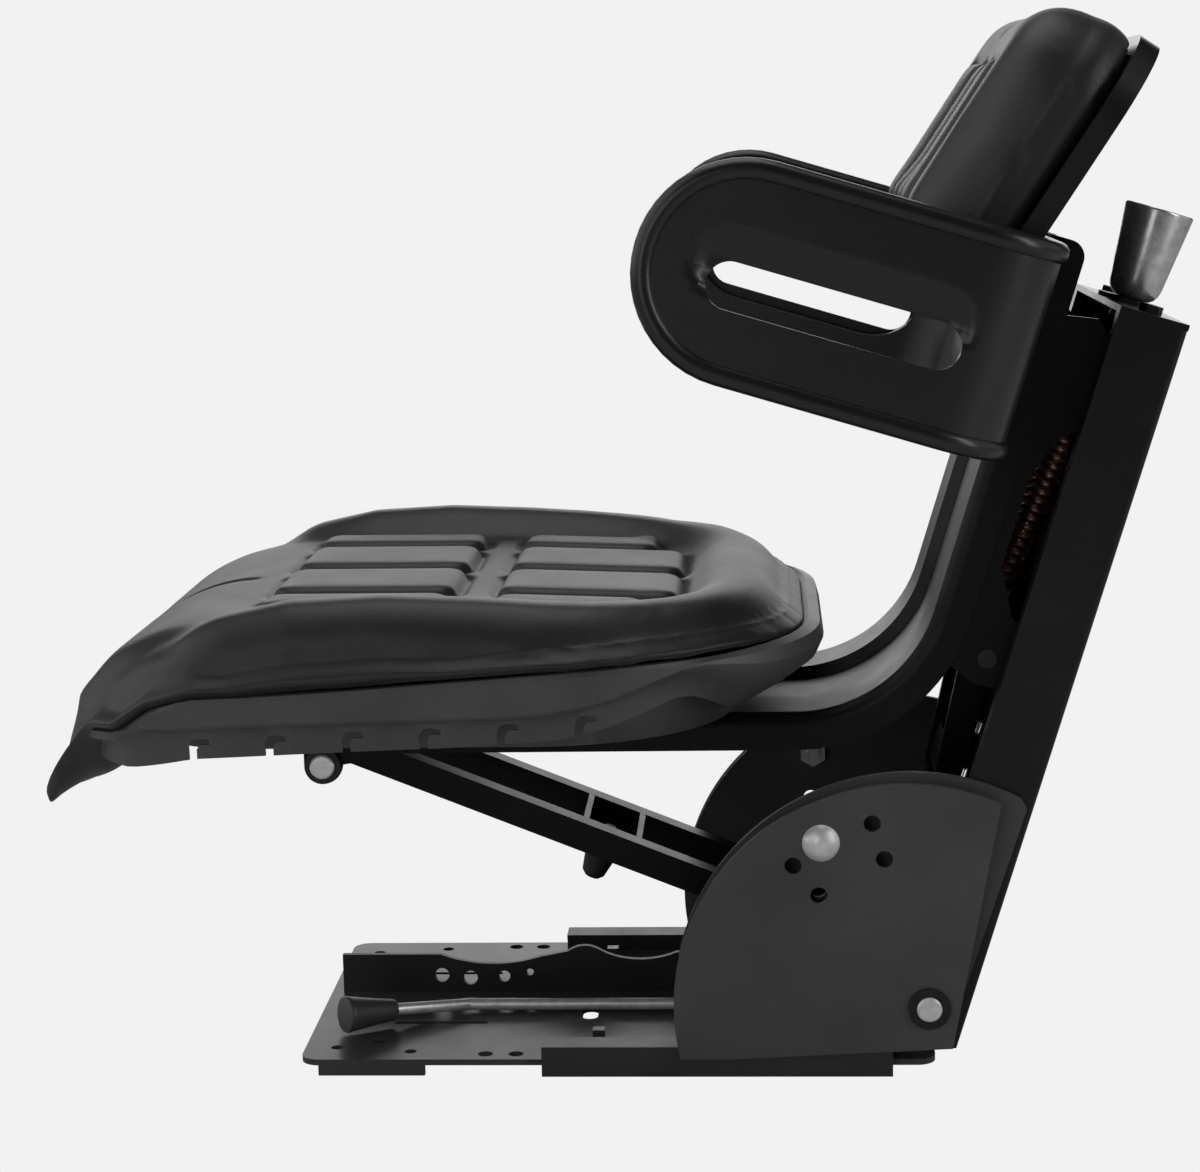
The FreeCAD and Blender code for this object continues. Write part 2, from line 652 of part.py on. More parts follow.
def carriage(side):
    """Plate that joins the seat frame to the two rollers of one side."""
    outer = FRAME_HALF - FRAME_SHEET
    inner = outer - CARRIAGE_SHEET
    front = FRAME_N + FRAME_CORNER
    spread = ROLLER_R - 3
    outline = [(LOWER_ROLLER - spread, tower_middle), (LOWER_ROLLER - 18, -30.0), (LOWER_ROLLER - 10, front + 9),
               (LOWER_ROLLER + 44, front), (UPPER_ROLLER - 20, front), (UPPER_ROLLER + 40, front),
               (UPPER_ROLLER + 46, -24.0), (UPPER_ROLLER + spread, tower_middle),
               (UPPER_ROLLER + spread - 6, tower_middle + 12),
               (UPPER_ROLLER - spread + 6, tower_middle + 12), (UPPER_ROLLER - spread, tower_middle),
               (UPPER_ROLLER - 30, -24.0), (UPPER_ROLLER - 60, -36.0), (LOWER_ROLLER + 60, -36.0),
               (LOWER_ROLLER + 30, -20.0), (LOWER_ROLLER + spread, tower_middle),
               (LOWER_ROLLER + spread - 6, tower_middle + 12), (LOWER_ROLLER - spread + 6, tower_middle + 12)]
    plate = strip(outline, inner, outer)
    for along in (UPPER_ROLLER, LOWER_ROLLER):
        plate = plate.cut(bar(AXLE_R, side_point(along, tower_middle), inner - 1, outer + 1))
    plate = plate.cut(bar(AXLE_R, side_point(ANCHOR_A, ANCHOR_N), inner - 1, outer + 1))
    return plate if side > 0 else mirrored(plate)


def roller_inner():
    return FRAME_HALF - 0.5


def stub_axle(along, side):
    """Short axle with a head inside the carriage plate, carrying one roller."""
    outer = FRAME_HALF - FRAME_SHEET
    inner = outer - CARRIAGE_SHEET
    centre = side_point(along, tower_middle)
    shank = bar(AXLE_R, centre, inner, roller_inner() + ROLLER_WIDTH)
    head = bar(AXLE_R + 5, centre, inner - 5, inner)
    collar = bar(AXLE_R + 3, centre, outer, roller_inner() - 0.3)
    axle = shank.fuse([head, collar]).removeSplitter()
    return axle if side > 0 else mirrored(axle)


def roller_axles():
    return Part.makeCompound([stub_axle(along, side) for along in (UPPER_ROLLER, LOWER_ROLLER) for side in (1, -1)])


def roller(along, side):
    """Steel roller with rounded rims, a running fit on its axle."""
    radius = (TOWER_REAR - TOWER_FRONT - 2 * TOWER_SHEET) / 2 - ROLLER_CLEAR
    width = ROLLER_WIDTH - 0.5
    points = [(AXLE_R + RUN_FIT, 0), (radius - 1.5, 0), (radius, 1.5), (radius, width - 1.5), (radius - 1.5, width),
              (AXLE_R + RUN_FIT, width)]
    body = turned(points, at(along, tower_middle, roller_inner()), Vector(1, 0, 0))
    return body if side > 0 else mirrored(body)


def anchor_bar():
    """Cross bar between the carriage plates that the springs pull on."""
    half = FRAME_HALF - FRAME_SHEET
    return bar(AXLE_R, side_point(ANCHOR_A, ANCHOR_N), -half, half)


def anchor_straps():
    """Round-topped straps on the cross bar that hang in front of the pivot."""
    straps = []
    for side in (-1, 1):
        x0 = side * (SPRING_X + 12) - 2.5
        top = ANCHOR_A + 2
        points = [at(top, ANCHOR_N - 10, x0), at(118.0, ANCHOR_N - 1, x0), at(118.0, ANCHOR_N + 14, x0),
                  at(top, ANCHOR_N + 12, x0), at(top + 11, ANCHOR_N + 1, x0)]
        body = face(points[0], [[points[1]], [points[2]], [points[3]], [points[4], points[0]]])
        body = body.extrude(Vector(5, 0, 0))
        body = body.cut(bar(AXLE_R, side_point(ANCHOR_A, ANCHOR_N), x0 - 1, x0 + 6))
        straps.append(body)
    tie = strip([(124.0, ANCHOR_N), (124.0, ANCHOR_N + 4), (150.0, ANCHOR_N + 4), (150.0, ANCHOR_N)],
                -SPRING_X - 9.5, SPRING_X + 9.5)
    return straps[0].fuse([straps[1], tie]).removeSplitter()


def damper_tube():
    """Damper body, hung from the cross bar of the carriage."""
    foot = 164.0
    top = yoke_position - YOKE_THICK / 2 - 36
    wall = 2.0
    tube = Part.makeCylinder(DAMPER_R, top - foot, at(foot, DAMPER_N), tower_axis())
    bore = Part.makeCylinder(DAMPER_R - wall, top - foot - 2 * wall, at(foot + wall, DAMPER_N), tower_axis())
    mouth = Part.makeCylinder(DAMPER_ROD_R + RUN_FIT, 3 * wall, at(foot - wall, DAMPER_N), tower_axis())
    tube = tube.cut(bore).cut(mouth)
    clip = strip([(ANCHOR_A - 9, ANCHOR_N - 4), (ANCHOR_A - 9, DAMPER_N), (ANCHOR_A + 9, DAMPER_N),
                  (ANCHOR_A + 9, ANCHOR_N - 4)], -8.0, 8.0)
    clip = clip.cut(Part.makeCylinder(DAMPER_R - 1, 60, at(ANCHOR_A - 30, DAMPER_N), tower_axis()))
    clip = clip.cut(bar(AXLE_R, side_point(ANCHOR_A, ANCHOR_N), -9, 9))
    return tube.fuse(clip).removeSplitter()


def damper_rod():
    """Bright rod with an eye on the pivot pin and a piston in the tube."""
    top = 164.0 + 2.0 + STROKE
    rod = Part.makeCylinder(DAMPER_ROD_R, top, at(0, DAMPER_N), tower_axis())
    piston = Part.makeCylinder(DAMPER_R - 2 - RUN_FIT, 12, at(top - 12, DAMPER_N), tower_axis())
    eye = bar(PIN_R + 5, (PIVOT_Y, PIVOT_Z), -8, 8)
    body = rod.fuse([piston, eye]).removeSplitter()
    return body.cut(bar(PIN_R, (PIVOT_Y, PIVOT_Z), -9, 9))


def frame_section():
    """Half of the pressed section: (x, depth) from the bent flange to the sunk middle."""
    corner = FRAME_CORNER
    edge = FRAME_HALF
    slope = CHANNEL_HALF + CHANNEL_SLOPE
    outer = [(edge, FRAME_FLANGE), (edge, corner), ((edge - 0.3 * corner, 0.3 * corner), (edge - corner, 0)),
             (slope, 0), (CHANNEL_HALF, CHANNEL_DEPTH)]
    sheet = FRAME_SHEET
    inner = [(CHANNEL_HALF - 1, CHANNEL_DEPTH + sheet), (slope - 1, sheet), (edge - corner, sheet),
             ((edge - sheet - 0.3 * (corner - sheet), sheet + 0.3 * (corner - sheet)), (edge - sheet, corner)),
             (edge - sheet, FRAME_FLANGE)]
    return outer, inner


def frame_face(place):
    """Closed section face; place turns (x, depth) into a point."""
    outer, inner = frame_section()

    def side_steps(run, sign):
        steps = []
        for point in run:
            if isinstance(point[0], tuple):
                steps.append([place(sign * middle, depth) for middle, depth in point])
            else:
                steps.append([place(sign * point[0], point[1])])
        return steps

    def backwards(run):
        """The same run from its last point to its first, arcs included."""
        flat = [point[-1] if isinstance(point[0], tuple) else point for point in run]
        result = []
        for index in range(len(run) - 1, -1, -1):
            if index + 1 < len(run) and isinstance(run[index + 1][0], tuple):
                result.append((run[index + 1][0], flat[index]))
            else:
                result.append(flat[index])
        return result

    steps = side_steps(outer[1:], 1)
    steps += side_steps(backwards(outer), -1)
    steps += side_steps(backwards(inner), -1)
    steps += side_steps(inner, 1)
    return face(place(*outer[0]), steps)


def bend_centre():
    """Side point that the L is bent about."""
    z = FRAME_TOP_Z + FRAME_BEND
    y = PIVOT_Y + (FRAME_N - FRAME_BEND + (z - PIVOT_Z) * lean_sin) / lean_cos
    return (y, z)


def seat_frame():
    """Ribbed sheet bent to an L, flanges along both sides, rounded upper ends."""
    centre = bend_centre()
    turn = 90 - LEAN
    section = frame_face(lambda x, depth: Vector(x, centre[0], FRAME_TOP_Z - depth))
    flat = frame_face(lambda x, depth: Vector(x, FRAME_FRONT, FRAME_TOP_Z - depth))
    flat = flat.extrude(Vector(0, centre[0] - FRAME_FRONT, 0))
    bend = section.revolve(Vector(0, centre[0], centre[1]), Vector(1, 0, 0), turn)
    start = (Vector(0, centre[0], centre[1]) - at(0, 0)).dot(tower_axis())
    upright = frame_face(lambda x, depth: at(start, FRAME_N + depth, x))
    upright = upright.extrude(tower_axis() * (FRAME_TOP_A - start))
    body = flat.fuse([bend, upright]).removeSplitter()
    # rounded upper ends of the flanges
    reach = FRAME_FLANGE - FRAME_END_R
    corner = strip([(FRAME_TOP_A - FRAME_END_R, FRAME_N + reach), (FRAME_TOP_A + 5, FRAME_N + reach),
                    (FRAME_TOP_A + 5, FRAME_N + FRAME_FLANGE + 1),
                    (FRAME_TOP_A - FRAME_END_R, FRAME_N + FRAME_FLANGE + 1)], -FRAME_HALF - 1, FRAME_HALF + 1)
    keep = bar(FRAME_END_R, side_point(FRAME_TOP_A - FRAME_END_R, FRAME_N + reach), -FRAME_HALF - 1, FRAME_HALF + 1)
    body = body.cut(corner.cut(keep))
    for x, along in back_bolt_places():
        hole = Part.makeCylinder(SMALL_BOLT_R, 40, at(along, FRAME_N - 10, x), tower_across())
        body = body.cut(hole)
    for x, y in pan_bolt_places():
        body = body.cut(Part.makeCylinder(SMALL_BOLT_R, 40, Vector(x, y, FRAME_TOP_Z - 20)))
    return body


def arm_angle():
    return math.atan2(ARM_PIN_Z - PIVOT_Z, PIVOT_Y - ARM_PIN_Y)


def arm_length():
    return math.hypot(ARM_PIN_Z - PIVOT_Z, PIVOT_Y - ARM_PIN_Y)


def on_arm(reach, offset):
    """Side point of the arms: reach from the pivot, offset upwards."""
    turn = arm_angle()
    y = PIVOT_Y - reach * math.cos(turn) + offset * math.sin(turn)
    z = PIVOT_Z + reach * math.sin(turn) + offset * math.cos(turn)
    return (y, z)


def arm(side):
    """Swing arm: rounded box tube from the pivot hub to the front pin."""
    half = ARM_HEIGHT / 2
    low = [on_arm(0, -half), on_arm(arm_length(), -half)]
    high = [on_arm(arm_length(), half), on_arm(0, half)]
    outline = [low[0], low[1], (on_arm(arm_length() + half, 0), high[0]), high[1]]
    x0 = ARM_X - ARM_WIDTH / 2
    x1 = ARM_X + ARM_WIDTH / 2
    body = across_x(outline, x0, x1)
    wall = ARM_WALL
    hollow = [on_arm(HUB_R + 4, -half + wall), on_arm(arm_length() - PIN_R - 5, -half + wall),
              on_arm(arm_length() - PIN_R - 5, half - wall), on_arm(HUB_R + 4, half - wall)]
    body = body.cut(across_x(hollow, x0 + wall, x1 - wall))
    hub = bar(HUB_R, (PIVOT_Y, PIVOT_Z), x0, x1)
    body = body.fuse(hub).removeSplitter()
    body = body.cut(bar(PIN_R + RUN_FIT, (PIVOT_Y, PIVOT_Z), x0 - 1, x1 + 1))
    body = body.cut(bar(PIN_R, (ARM_PIN_Y, ARM_PIN_Z), x0 - 1, x1 + 1))
    return body if side > 0 else mirrored(body)


def arm_tie():
    """Plate between the arms that carries the bump stop."""
    half = ARM_HEIGHT / 2
    inner = ARM_X - ARM_WIDTH / 2
    start = ARM_PLATE_FROM
    end = start + ARM_PLATE_LENGTH
    sheet = ARM_PLATE_SHEET
    outline = [on_arm(start, -half), on_arm(end, -half), on_arm(end, half), on_arm(end - sheet, half),
               on_arm(end - sheet, -half + sheet), on_arm(start + sheet, -half + sheet),
               on_arm(start + sheet, half), on_arm(start, half)]
    plate = across_x(outline, -inner, inner)
    return plate.cut(bump_bolt_hole())


def bump_reach():
    return ARM_PLATE_FROM + ARM_PLATE_LENGTH / 2


def arm_down():
    turn = arm_angle()
    return Vector(0, -math.sin(turn), -math.cos(turn))


def bump_seat():
    place = on_arm(bump_reach(), -ARM_HEIGHT / 2)
    return Vector(0, place[0], place[1])


def bump_bolt_hole():
    return Part.makeCylinder(SMALL_BOLT_R, 20, bump_seat() - arm_down() * 12, arm_down())


def bump_stop():
    """Tapered rubber buffer under the tie plate."""
    profile = [(0, 0), (BUMP_R, 0), (BUMP_R - 1, 5), (BUMP_END_R, BUMP_LENGTH - 3), (BUMP_END_R - 3, BUMP_LENGTH),
               (0, BUMP_LENGTH)]
    return turned(profile, bump_seat(), arm_down())


def bump_bolt():
    """Stud and nut that hold the buffer to the tie plate."""
    stud = Part.makeCylinder(SMALL_BOLT_R, ARM_PLATE_SHEET + 7, bump_seat() - arm_down() * (ARM_PLATE_SHEET + 7),
                             arm_down())
    nut = hexagon(SMALL_HEAD_R, SMALL_HEAD, bump_seat() - arm_down() * (ARM_PLATE_SHEET + SMALL_HEAD), arm_down())
    return stud.fuse(nut).removeSplitter()


def arm_hub_tube():
    """Tube between the arm hubs, turning on the pivot pin outside the damper eye."""
    tubes = []
    for side in (-1, 1):
        low = side * 9.5 if side > 0 else -(ARM_X - ARM_WIDTH / 2)
        high = ARM_X - ARM_WIDTH / 2 if side > 0 else -9.5
        tube = bar(HUB_R, (PIVOT_Y, PIVOT_Z), low, high)
        tubes.append(tube.cut(bar(PIN_R + RUN_FIT, (PIVOT_Y, PIVOT_Z), low - 1, high + 1)))
    return Part.makeCompound(tubes)


def front_pin():
    half = FRAME_HALF + EAR_SHEET + 7
    pin = bar(PIN_R, (ARM_PIN_Y, ARM_PIN_Z), -half, half)
    rims = [edge for edge in pin.Edges if edge.Length < 60 and abs(abs(edge.CenterOfMass.x) - half) < 0.1]
    return pin.makeChamfer(1.0, rims)


def front_pin_rings():
    low = FRAME_HALF + EAR_SHEET + 1.0
    return rings((ARM_PIN_Y, ARM_PIN_Z), PIN_R, EAR_R - 0.7, low, low + 3)


def front_ear(side):
    """Ear under the frame's front end, with a short slot for the arms' pin."""
    turn = arm_angle()
    top = FRAME_TOP_Z - FRAME_FLANGE + 16
    outline = [(ARM_PIN_Y - EAR_R, ARM_PIN_Z), ((ARM_PIN_Y, ARM_PIN_Z - EAR_R), (ARM_PIN_Y + EAR_R, ARM_PIN_Z)),
               (FRAME_FRONT + 34, FRAME_TOP_Z - FRAME_FLANGE), (FRAME_FRONT + 34, top), (ARM_PIN_Y - EAR_R, top)]
    ear = across_x(outline, FRAME_HALF, FRAME_HALF + EAR_SHEET)
    slide = PIN_SLACK
    radius = PIN_R + PIN_PLAY
    ends = []
    for sign in (-1, 1):
        centre = (ARM_PIN_Y + sign * slide * math.cos(turn), ARM_PIN_Z - sign * slide * math.sin(turn))
        ends.append(bar(radius, centre, FRAME_HALF - 1, FRAME_HALF + EAR_SHEET + 1))
    middle = bar(radius, (ARM_PIN_Y, ARM_PIN_Z), FRAME_HALF - 1, FRAME_HALF + EAR_SHEET + 1)
    ear = ear.cut(ends[0].fuse([ends[1], middle]))
    return ear if side > 0 else mirrored(ear)


def rounded_plan(half, front, rear, front_r, rear_r, z0, z1):
    """Seat plan: rounded rectangle with its own front and rear corner radii."""
    k = math.sin(math.radians(45))
    f = front_r
    r = rear_r
    start = Vector(half, front + f, z0)
    steps = [
        [Vector(half, rear - r, z0)],
        [Vector(half - r + r * k, rear - r + r * k, z0), Vector(half - r, rear, z0)],
        [Vector(-half + r, rear, z0)],
        [Vector(-half + r - r * k, rear - r + r * k, z0), Vector(-half, rear - r, z0)],
        [Vector(-half, front + f, z0)],
        [Vector(-half + f - f * k, front + f - f * k, z0), Vector(-half + f, front, z0)],
        [Vector(half - f, front, z0)],
        [Vector(half - f + f * k, front + f - f * k, z0), start],
    ]
    return face(start, steps).extrude(Vector(0, 0, z1 - z0))


def pan_plan(inset, z0, z1):
    """The pan's plan at one inset from the cushion's edge."""
    return rounded_plan(SEAT_HALF - inset, SEAT_FRONT + 6 + inset, SEAT_REAR - 2 - inset, PAN_FRONT_R - inset,
                        PAN_REAR_R - inset, z0, z1)


def pan_ring(inset, width, z0, z1):
    return pan_plan(inset, z0, z1).cut(pan_plan(inset + width, z0 - 1, z1 + 1))


def seat_pan():
    """Pressed tray: stepped skirt, ledge, well that stands on the frame, rolled rear edge and nose."""
    sheet = PAN_SHEET
    inner = PAN_INSET + PAN_LEDGE
    pieces = [pan_ring(PAN_INSET, sheet, PAN_STEP_Z, PAN_RIM_Z)]
    pieces.append(pan_ring(PAN_INSET, PAN_STEP + sheet, PAN_STEP_Z, PAN_STEP_Z + sheet))
    pieces.append(pan_ring(PAN_INSET + PAN_STEP, sheet, PAN_FOOT_Z, PAN_STEP_Z + sheet))
    pieces.append(pan_ring(PAN_INSET, PAN_LEDGE, PAN_RIM_Z - sheet, PAN_RIM_Z))
    pieces.append(pan_ring(inner, sheet, FRAME_TOP_Z, PAN_RIM_Z))
    pieces.append(pan_plan(inner, FRAME_TOP_Z, FRAME_TOP_Z + sheet))
    pan = pieces[0].fuse(pieces[1:])
    # the underside rises towards the rear
    rear = SEAT_REAR
    wedge = [(rear - 44, 200.0), (rear - 44, 248.0), (rear - 21, 266.0), (rear + 3, 284.0), (rear + 30, 300.0),
             (rear + 30, 200.0)]
    pan = pan.cut(across_x(wedge, -SEAT_HALF - 20, SEAT_HALF + 20))
    roll = [(rear - 30, PAN_RIM_Z - 10), (rear - 21, 267.0), (rear + 3, 285.0), (rear + 6, 295.0), (rear - 8, 305.0),
            (rear - 14, 299.0), (rear - 20, PAN_RIM_Z), (rear - 30, PAN_RIM_Z)]
    roll = across_x(roll, -SEAT_HALF, SEAT_HALF).common(pan_roll_zone())
    nose = [(SEAT_FRONT + 15, PAN_FOOT_Z + 6), (SEAT_FRONT - 3, 222.0), (SEAT_FRONT - 15, 192.0),
            (SEAT_FRONT - 10, 188.0), (SEAT_FRONT - 3, 192.0), (SEAT_FRONT + 18, 216.0), (SEAT_FRONT + 38, PAN_FOOT_Z),
            (SEAT_FRONT + 38, PAN_FOOT_Z + 6)]
    nose_half = SEAT_HALF - PAN_FRONT_R + 25
    pan = pan.fuse([roll, across_x(nose, -nose_half, nose_half)]).removeSplitter()
    for x, y in pan_bolt_places():
        pan = pan.cut(Part.makeCylinder(SMALL_BOLT_R, 40, Vector(x, y, FRAME_TOP_Z - 20)))
    return pan.cut(skirt_notches())


def skirt_notches():
    """Hooked clip notches along the lower skirt of both sides."""
    low = PAN_FOOT_Z - 3
    notches = []
    for place in range(NOTCHES):
        y = NOTCH_FIRST + place * NOTCH_PITCH
        outline = [(y, low), (y, low + 11), ((y + 2, low + 15), (y + 7, low + 16)), (y + 13, low + 15), (y + 13, low + 12),
                   (y + 7, low + 12), (y + 5, low + 9), (y + 5, low)]
        notches.append(across_x(outline, -SEAT_HALF, SEAT_HALF))
    inner = PAN_INSET + PAN_STEP + PAN_SHEET
    return Part.makeCompound(notches).cut(pan_plan(inner + 1, low - 5, low + 30))


def pan_roll_zone():
    """Plan of the rolled rear edge, following the rounded rear."""
    outer = rounded_plan(SEAT_HALF, SEAT_FRONT, SEAT_REAR + 6, PAN_FRONT_R, PAN_REAR_R, seat_low, seat_high)
    inner = rounded_plan(SEAT_HALF - 30, SEAT_FRONT - 9, SEAT_REAR - 30, PAN_FRONT_R, PAN_REAR_R - 30, seat_low - 1,
                         seat_high + 1)
    return outer.cut(inner)


def pan_bolt_places():
    return [(x, y) for x in (-70.0, 70.0) for y in (-110.0, 50.0)]


def pan_bolts():
    """Bolts that hold the pan to the frame, heads inside the tray."""
    pieces = []
    for x, y in pan_bolt_places():
        floor = FRAME_TOP_Z + PAN_SHEET
        head = hexagon(SMALL_HEAD_R, SMALL_HEAD, Vector(x, y, floor), Vector(0, 0, 1))
        shank = Part.makeCylinder(SMALL_BOLT_R, PAN_SHEET + FRAME_SHEET, Vector(x, y, FRAME_TOP_Z - FRAME_SHEET))
        nut = hexagon(SMALL_HEAD_R, SMALL_HEAD, Vector(x, y, FRAME_TOP_Z - FRAME_SHEET - SMALL_HEAD), Vector(0, 0, 1))
        pieces.append(head.fuse([shank, nut]).removeSplitter())
    return Part.makeCompound(pieces)


def cushion():
    """Seat cushion: dished top, nose that rolls over the pan, raised rear bolster."""
    low = PAN_RIM_Z + SOFT_CLEAR
    front = SEAT_FRONT
    rear = SEAT_REAR
    crest = SEAT_CREST
    outline = [(front + 8, 240.0), (front + 1, 238.0), (front - 2, 246.0), ((front + 6, 270.0), (front + 38, 290.0)),
               (front + 104, 316.0), ((front + 150, crest - 3), (front + 204, crest)), (front + 262, crest - 4),
               (front + 324, crest - 9), (rear - 62, crest - 14), ((rear - 34, crest - 13), (rear - 14, crest - 26)),
               (rear - 15, 298.0), (rear - 22, low), (front + 30, low), (front + 10, PAN_STEP_Z)]
    body = across_x(outline, -SEAT_HALF, SEAT_HALF)
    body = body.common(rounded_plan(SEAT_HALF, front - 4, rear + 1, PAN_FRONT_R, PAN_REAR_R, seat_low, seat_high))
    # rounded shoulders along both sides
    shoulder = 46.0
    k = math.sin(math.radians(45))
    half = SEAT_HALF
    centre = crest - shoulder
    start = Vector(half, front - 10, 200)
    steps = [[Vector(half, front - 10, centre)],
             [Vector(half - shoulder + shoulder * k, front - 10, centre + shoulder * k),
              Vector(half - shoulder, front - 10, crest + 1)],
             [Vector(-half + shoulder, front - 10, crest + 1)],
             [Vector(-half + shoulder - shoulder * k, front - 10, centre + shoulder * k), Vector(-half, front - 10, centre)],
             [Vector(-half, front - 10, 200)]]
    body = body.common(face(start, steps).extrude(Vector(0, seat_length + 40, 0)))
    # room for the pan's front skirt, and the dish that the pads lie in
    body = body.cut(pan_plan(PAN_INSET - SOFT_CLEAR, seat_low, low))
    # foam that fills the tray
    plug = pan_plan(PAN_INSET + PAN_LEDGE + PAN_SHEET + SOFT_CLEAR, FRAME_TOP_Z + PAN_SHEET + SMALL_HEAD + 1.5, low + 8)
    body = body.fuse(plug).removeSplitter()
    slope = math.radians(5)
    dish_r = 900.0
    foot = Vector(0, front + 60, crest - SEAT_SAG + dish_r)
    dish = Part.makeCylinder(dish_r, 330, foot, Vector(0, math.cos(slope), -math.sin(slope)))
    return body.cut(dish)


def wing_plan(offset, low_a, high_a):
    """Solid U of the band at one offset inside the shell's outer face, open to the front."""
    half = WING_HALF - offset
    back = FRAME_N - offset
    corner = max(WING_CORNER - offset, 6)
    front = WING_NOSE_N - 30
    k = math.sin(math.radians(45))

    def spot(x, across):
        return at(low_a, across, x)

    start = spot(half, front)
    steps = [
        [spot(half, back - corner)],
        [spot(half - corner + corner * k, back - corner + corner * k), spot(half - corner, back)],
        [spot(-half + corner, back)],
        [spot(-half + corner - corner * k, back - corner + corner * k), spot(-half, back - corner)],
        [spot(-half, front)],
    ]
    return face(start, steps).extrude(tower_axis() * (high_a - low_a))


def wing_nose(inset):
    """Side outline of the band with its round nose, swept across X."""
    radius = WING_HEIGHT / 2 - inset
    low = wing_mid_a - radius
    high = wing_mid_a + radius
    centre_n = WING_NOSE_N + WING_HEIGHT / 2
    x0 = -WING_HALF - 20
    points = [at(high, 30, x0), at(high, centre_n, x0), at(wing_mid_a, centre_n - radius, x0),
              at(low, centre_n, x0), at(low, 30, x0)]
    body = face(points[0], [[points[1]], [points[2], points[3]], [points[4]]])
    return body.extrude(Vector(-2 * x0, 0, 0))


def band(outside, inside, inset):
    """U wall between two offsets, cut to the side outline."""
    wall = wing_plan(outside, wing_low_a - 5, wing_low_a + WING_HEIGHT + 5)
    wall = wall.cut(wing_plan(inside, wing_low_a - 6, wing_low_a + WING_HEIGHT + 6))
    return wall.common(wing_nose(inset))


def slot_zone(low, high, front, rear, x_low, x_high):
    """Prism across X with half-round ends, in the tower's directions."""
    half = (high - low) / 2
    middle = (high + low) / 2
    points = [at(high, rear - half, x_low), at(high, front + half, x_low), at(middle, front, x_low),
              at(low, front + half, x_low), at(low, rear - half, x_low), at(middle, rear, x_low)]
    body = face(points[0], [[points[1]], [points[2], points[3]], [points[4]], [points[5], points[0]]])
    return body.extrude(Vector(x_high - x_low, 0, 0))


def wing_slot(grow, x_low, x_high):
    """Long slot through one side of the band."""
    return slot_zone(wing_slot_a - WING_SLOT_HALF - grow, wing_slot_a + WING_SLOT_HALF + grow,
                     WING_SLOT_FRONT - grow, WING_SLOT_REAR + grow, x_low, x_high)


def scoop_zone(grow, side):
    """Finger scoop above the slot, on one side of the band."""
    low = wing_slot_a - WING_SLOT_HALF
    x_low = -WING_HALF - 5 if side < 0 else WING_HALF - WING_CORNER
    return slot_zone(low - grow, low + 2 * WING_SLOT_HALF + SCOOP_RISE + grow, WING_SLOT_FRONT - 9 - grow,
                     WING_SLOT_REAR + 2 + grow, x_low, x_low + WING_CORNER + 5)


def scoop(side):
    """Wedge that is pressed in above the slot, deepest at its edge."""
    edge = wing_slot_a + WING_SLOT_HALF
    outer = side * WING_HALF
    start = WING_SLOT_FRONT - 20
    points = [at(edge + SCOOP_RISE, start, outer), at(edge, start, outer - side * SCOOP_DEPTH),
              at(edge - 8, start, outer - side * SCOOP_DEPTH), at(edge - 8, start, outer + side * 5),
              at(edge + SCOOP_RISE, start, outer + side * 5)]
    wedge = face(points[0], [[points[1]], [points[2]], [points[3]], [points[4]], [points[0]]])
    wedge = wedge.extrude(tower_across() * (WING_SLOT_REAR - WING_SLOT_FRONT + 40))
    return wedge.common(scoop_zone(0, side))


def scoop_boss(grow, wall):
    """Thicker wall around both slots that the scoops are pressed into."""
    inner = band(WING_SHEET, WING_SHEET + wall, TRIM_WIDTH)
    return [inner.common(scoop_zone(4 + grow, side)) for side in (-1, 1)]


def wing_shell():
    """Moulded band around hips and back, a slot in each side."""
    body = band(0, WING_SHEET, TRIM_WIDTH / 2).fuse(scoop_boss(0, SCOOP_WALL)).removeSplitter()
    for side in (-1, 1):
        body = body.cut(scoop(side))
    body = body.cut(wing_slot(0, -WING_HALF - 5, WING_HALF + 5))
    for x, along in back_bolt_places():
        body = body.cut(Part.makeCylinder(SMALL_BOLT_R, 30, at(along, FRAME_N - 15, x), tower_across()))
    return body


def wing_trim():
    """Raised edge moulding around the rim of the band."""
    rim = band(-TRIM_OUT, WING_SHEET + TRIM_IN, 0).cut(wing_nose(TRIM_WIDTH))
    rim = rim.cut(band(0, WING_SHEET, TRIM_WIDTH / 2))
    frame_zone = strip([(wing_low_a - 20, FRAME_N), (wing_low_a - 20, 60), (wing_low_a + WING_HEIGHT + 20, 60),
                        (wing_low_a + WING_HEIGHT + 20, FRAME_N)], -FRAME_HALF - 4, FRAME_HALF + 4)
    inner_zone = strip([(wing_low_a - 20, FRAME_N - 60), (wing_low_a - 20, FRAME_N - WING_SHEET),
                        (wing_low_a + WING_HEIGHT + 20, FRAME_N - WING_SHEET),
                        (wing_low_a + WING_HEIGHT + 20, FRAME_N - 60)], -bay_half(), bay_half())
    return rim.cut(frame_zone).cut(inner_zone)


def bay_half():
    """Half width of the bay that the back rest fills inside the band."""
    return BACK_HALF + BACK_RIM + 2


def wing_lining():
    """Padded lining inside the band."""
    soft = band(WING_SHEET, WING_SHEET + LINING, TRIM_WIDTH + SOFT_CLEAR)
    soft = soft.cut(wing_slot(6, -WING_HALF - 5, WING_HALF + 5))
    for boss in scoop_boss(SOFT_CLEAR, SCOOP_WALL + SOFT_CLEAR):
        soft = soft.cut(boss)
    bay = strip([(wing_low_a - 20, FRAME_N - 60), (wing_low_a - 20, 0), (wing_low_a + WING_HEIGHT + 20, 0),
                 (wing_low_a + WING_HEIGHT + 20, FRAME_N - 60)], -bay_half(), bay_half())
    soft = soft.cut(bay)
    return soft


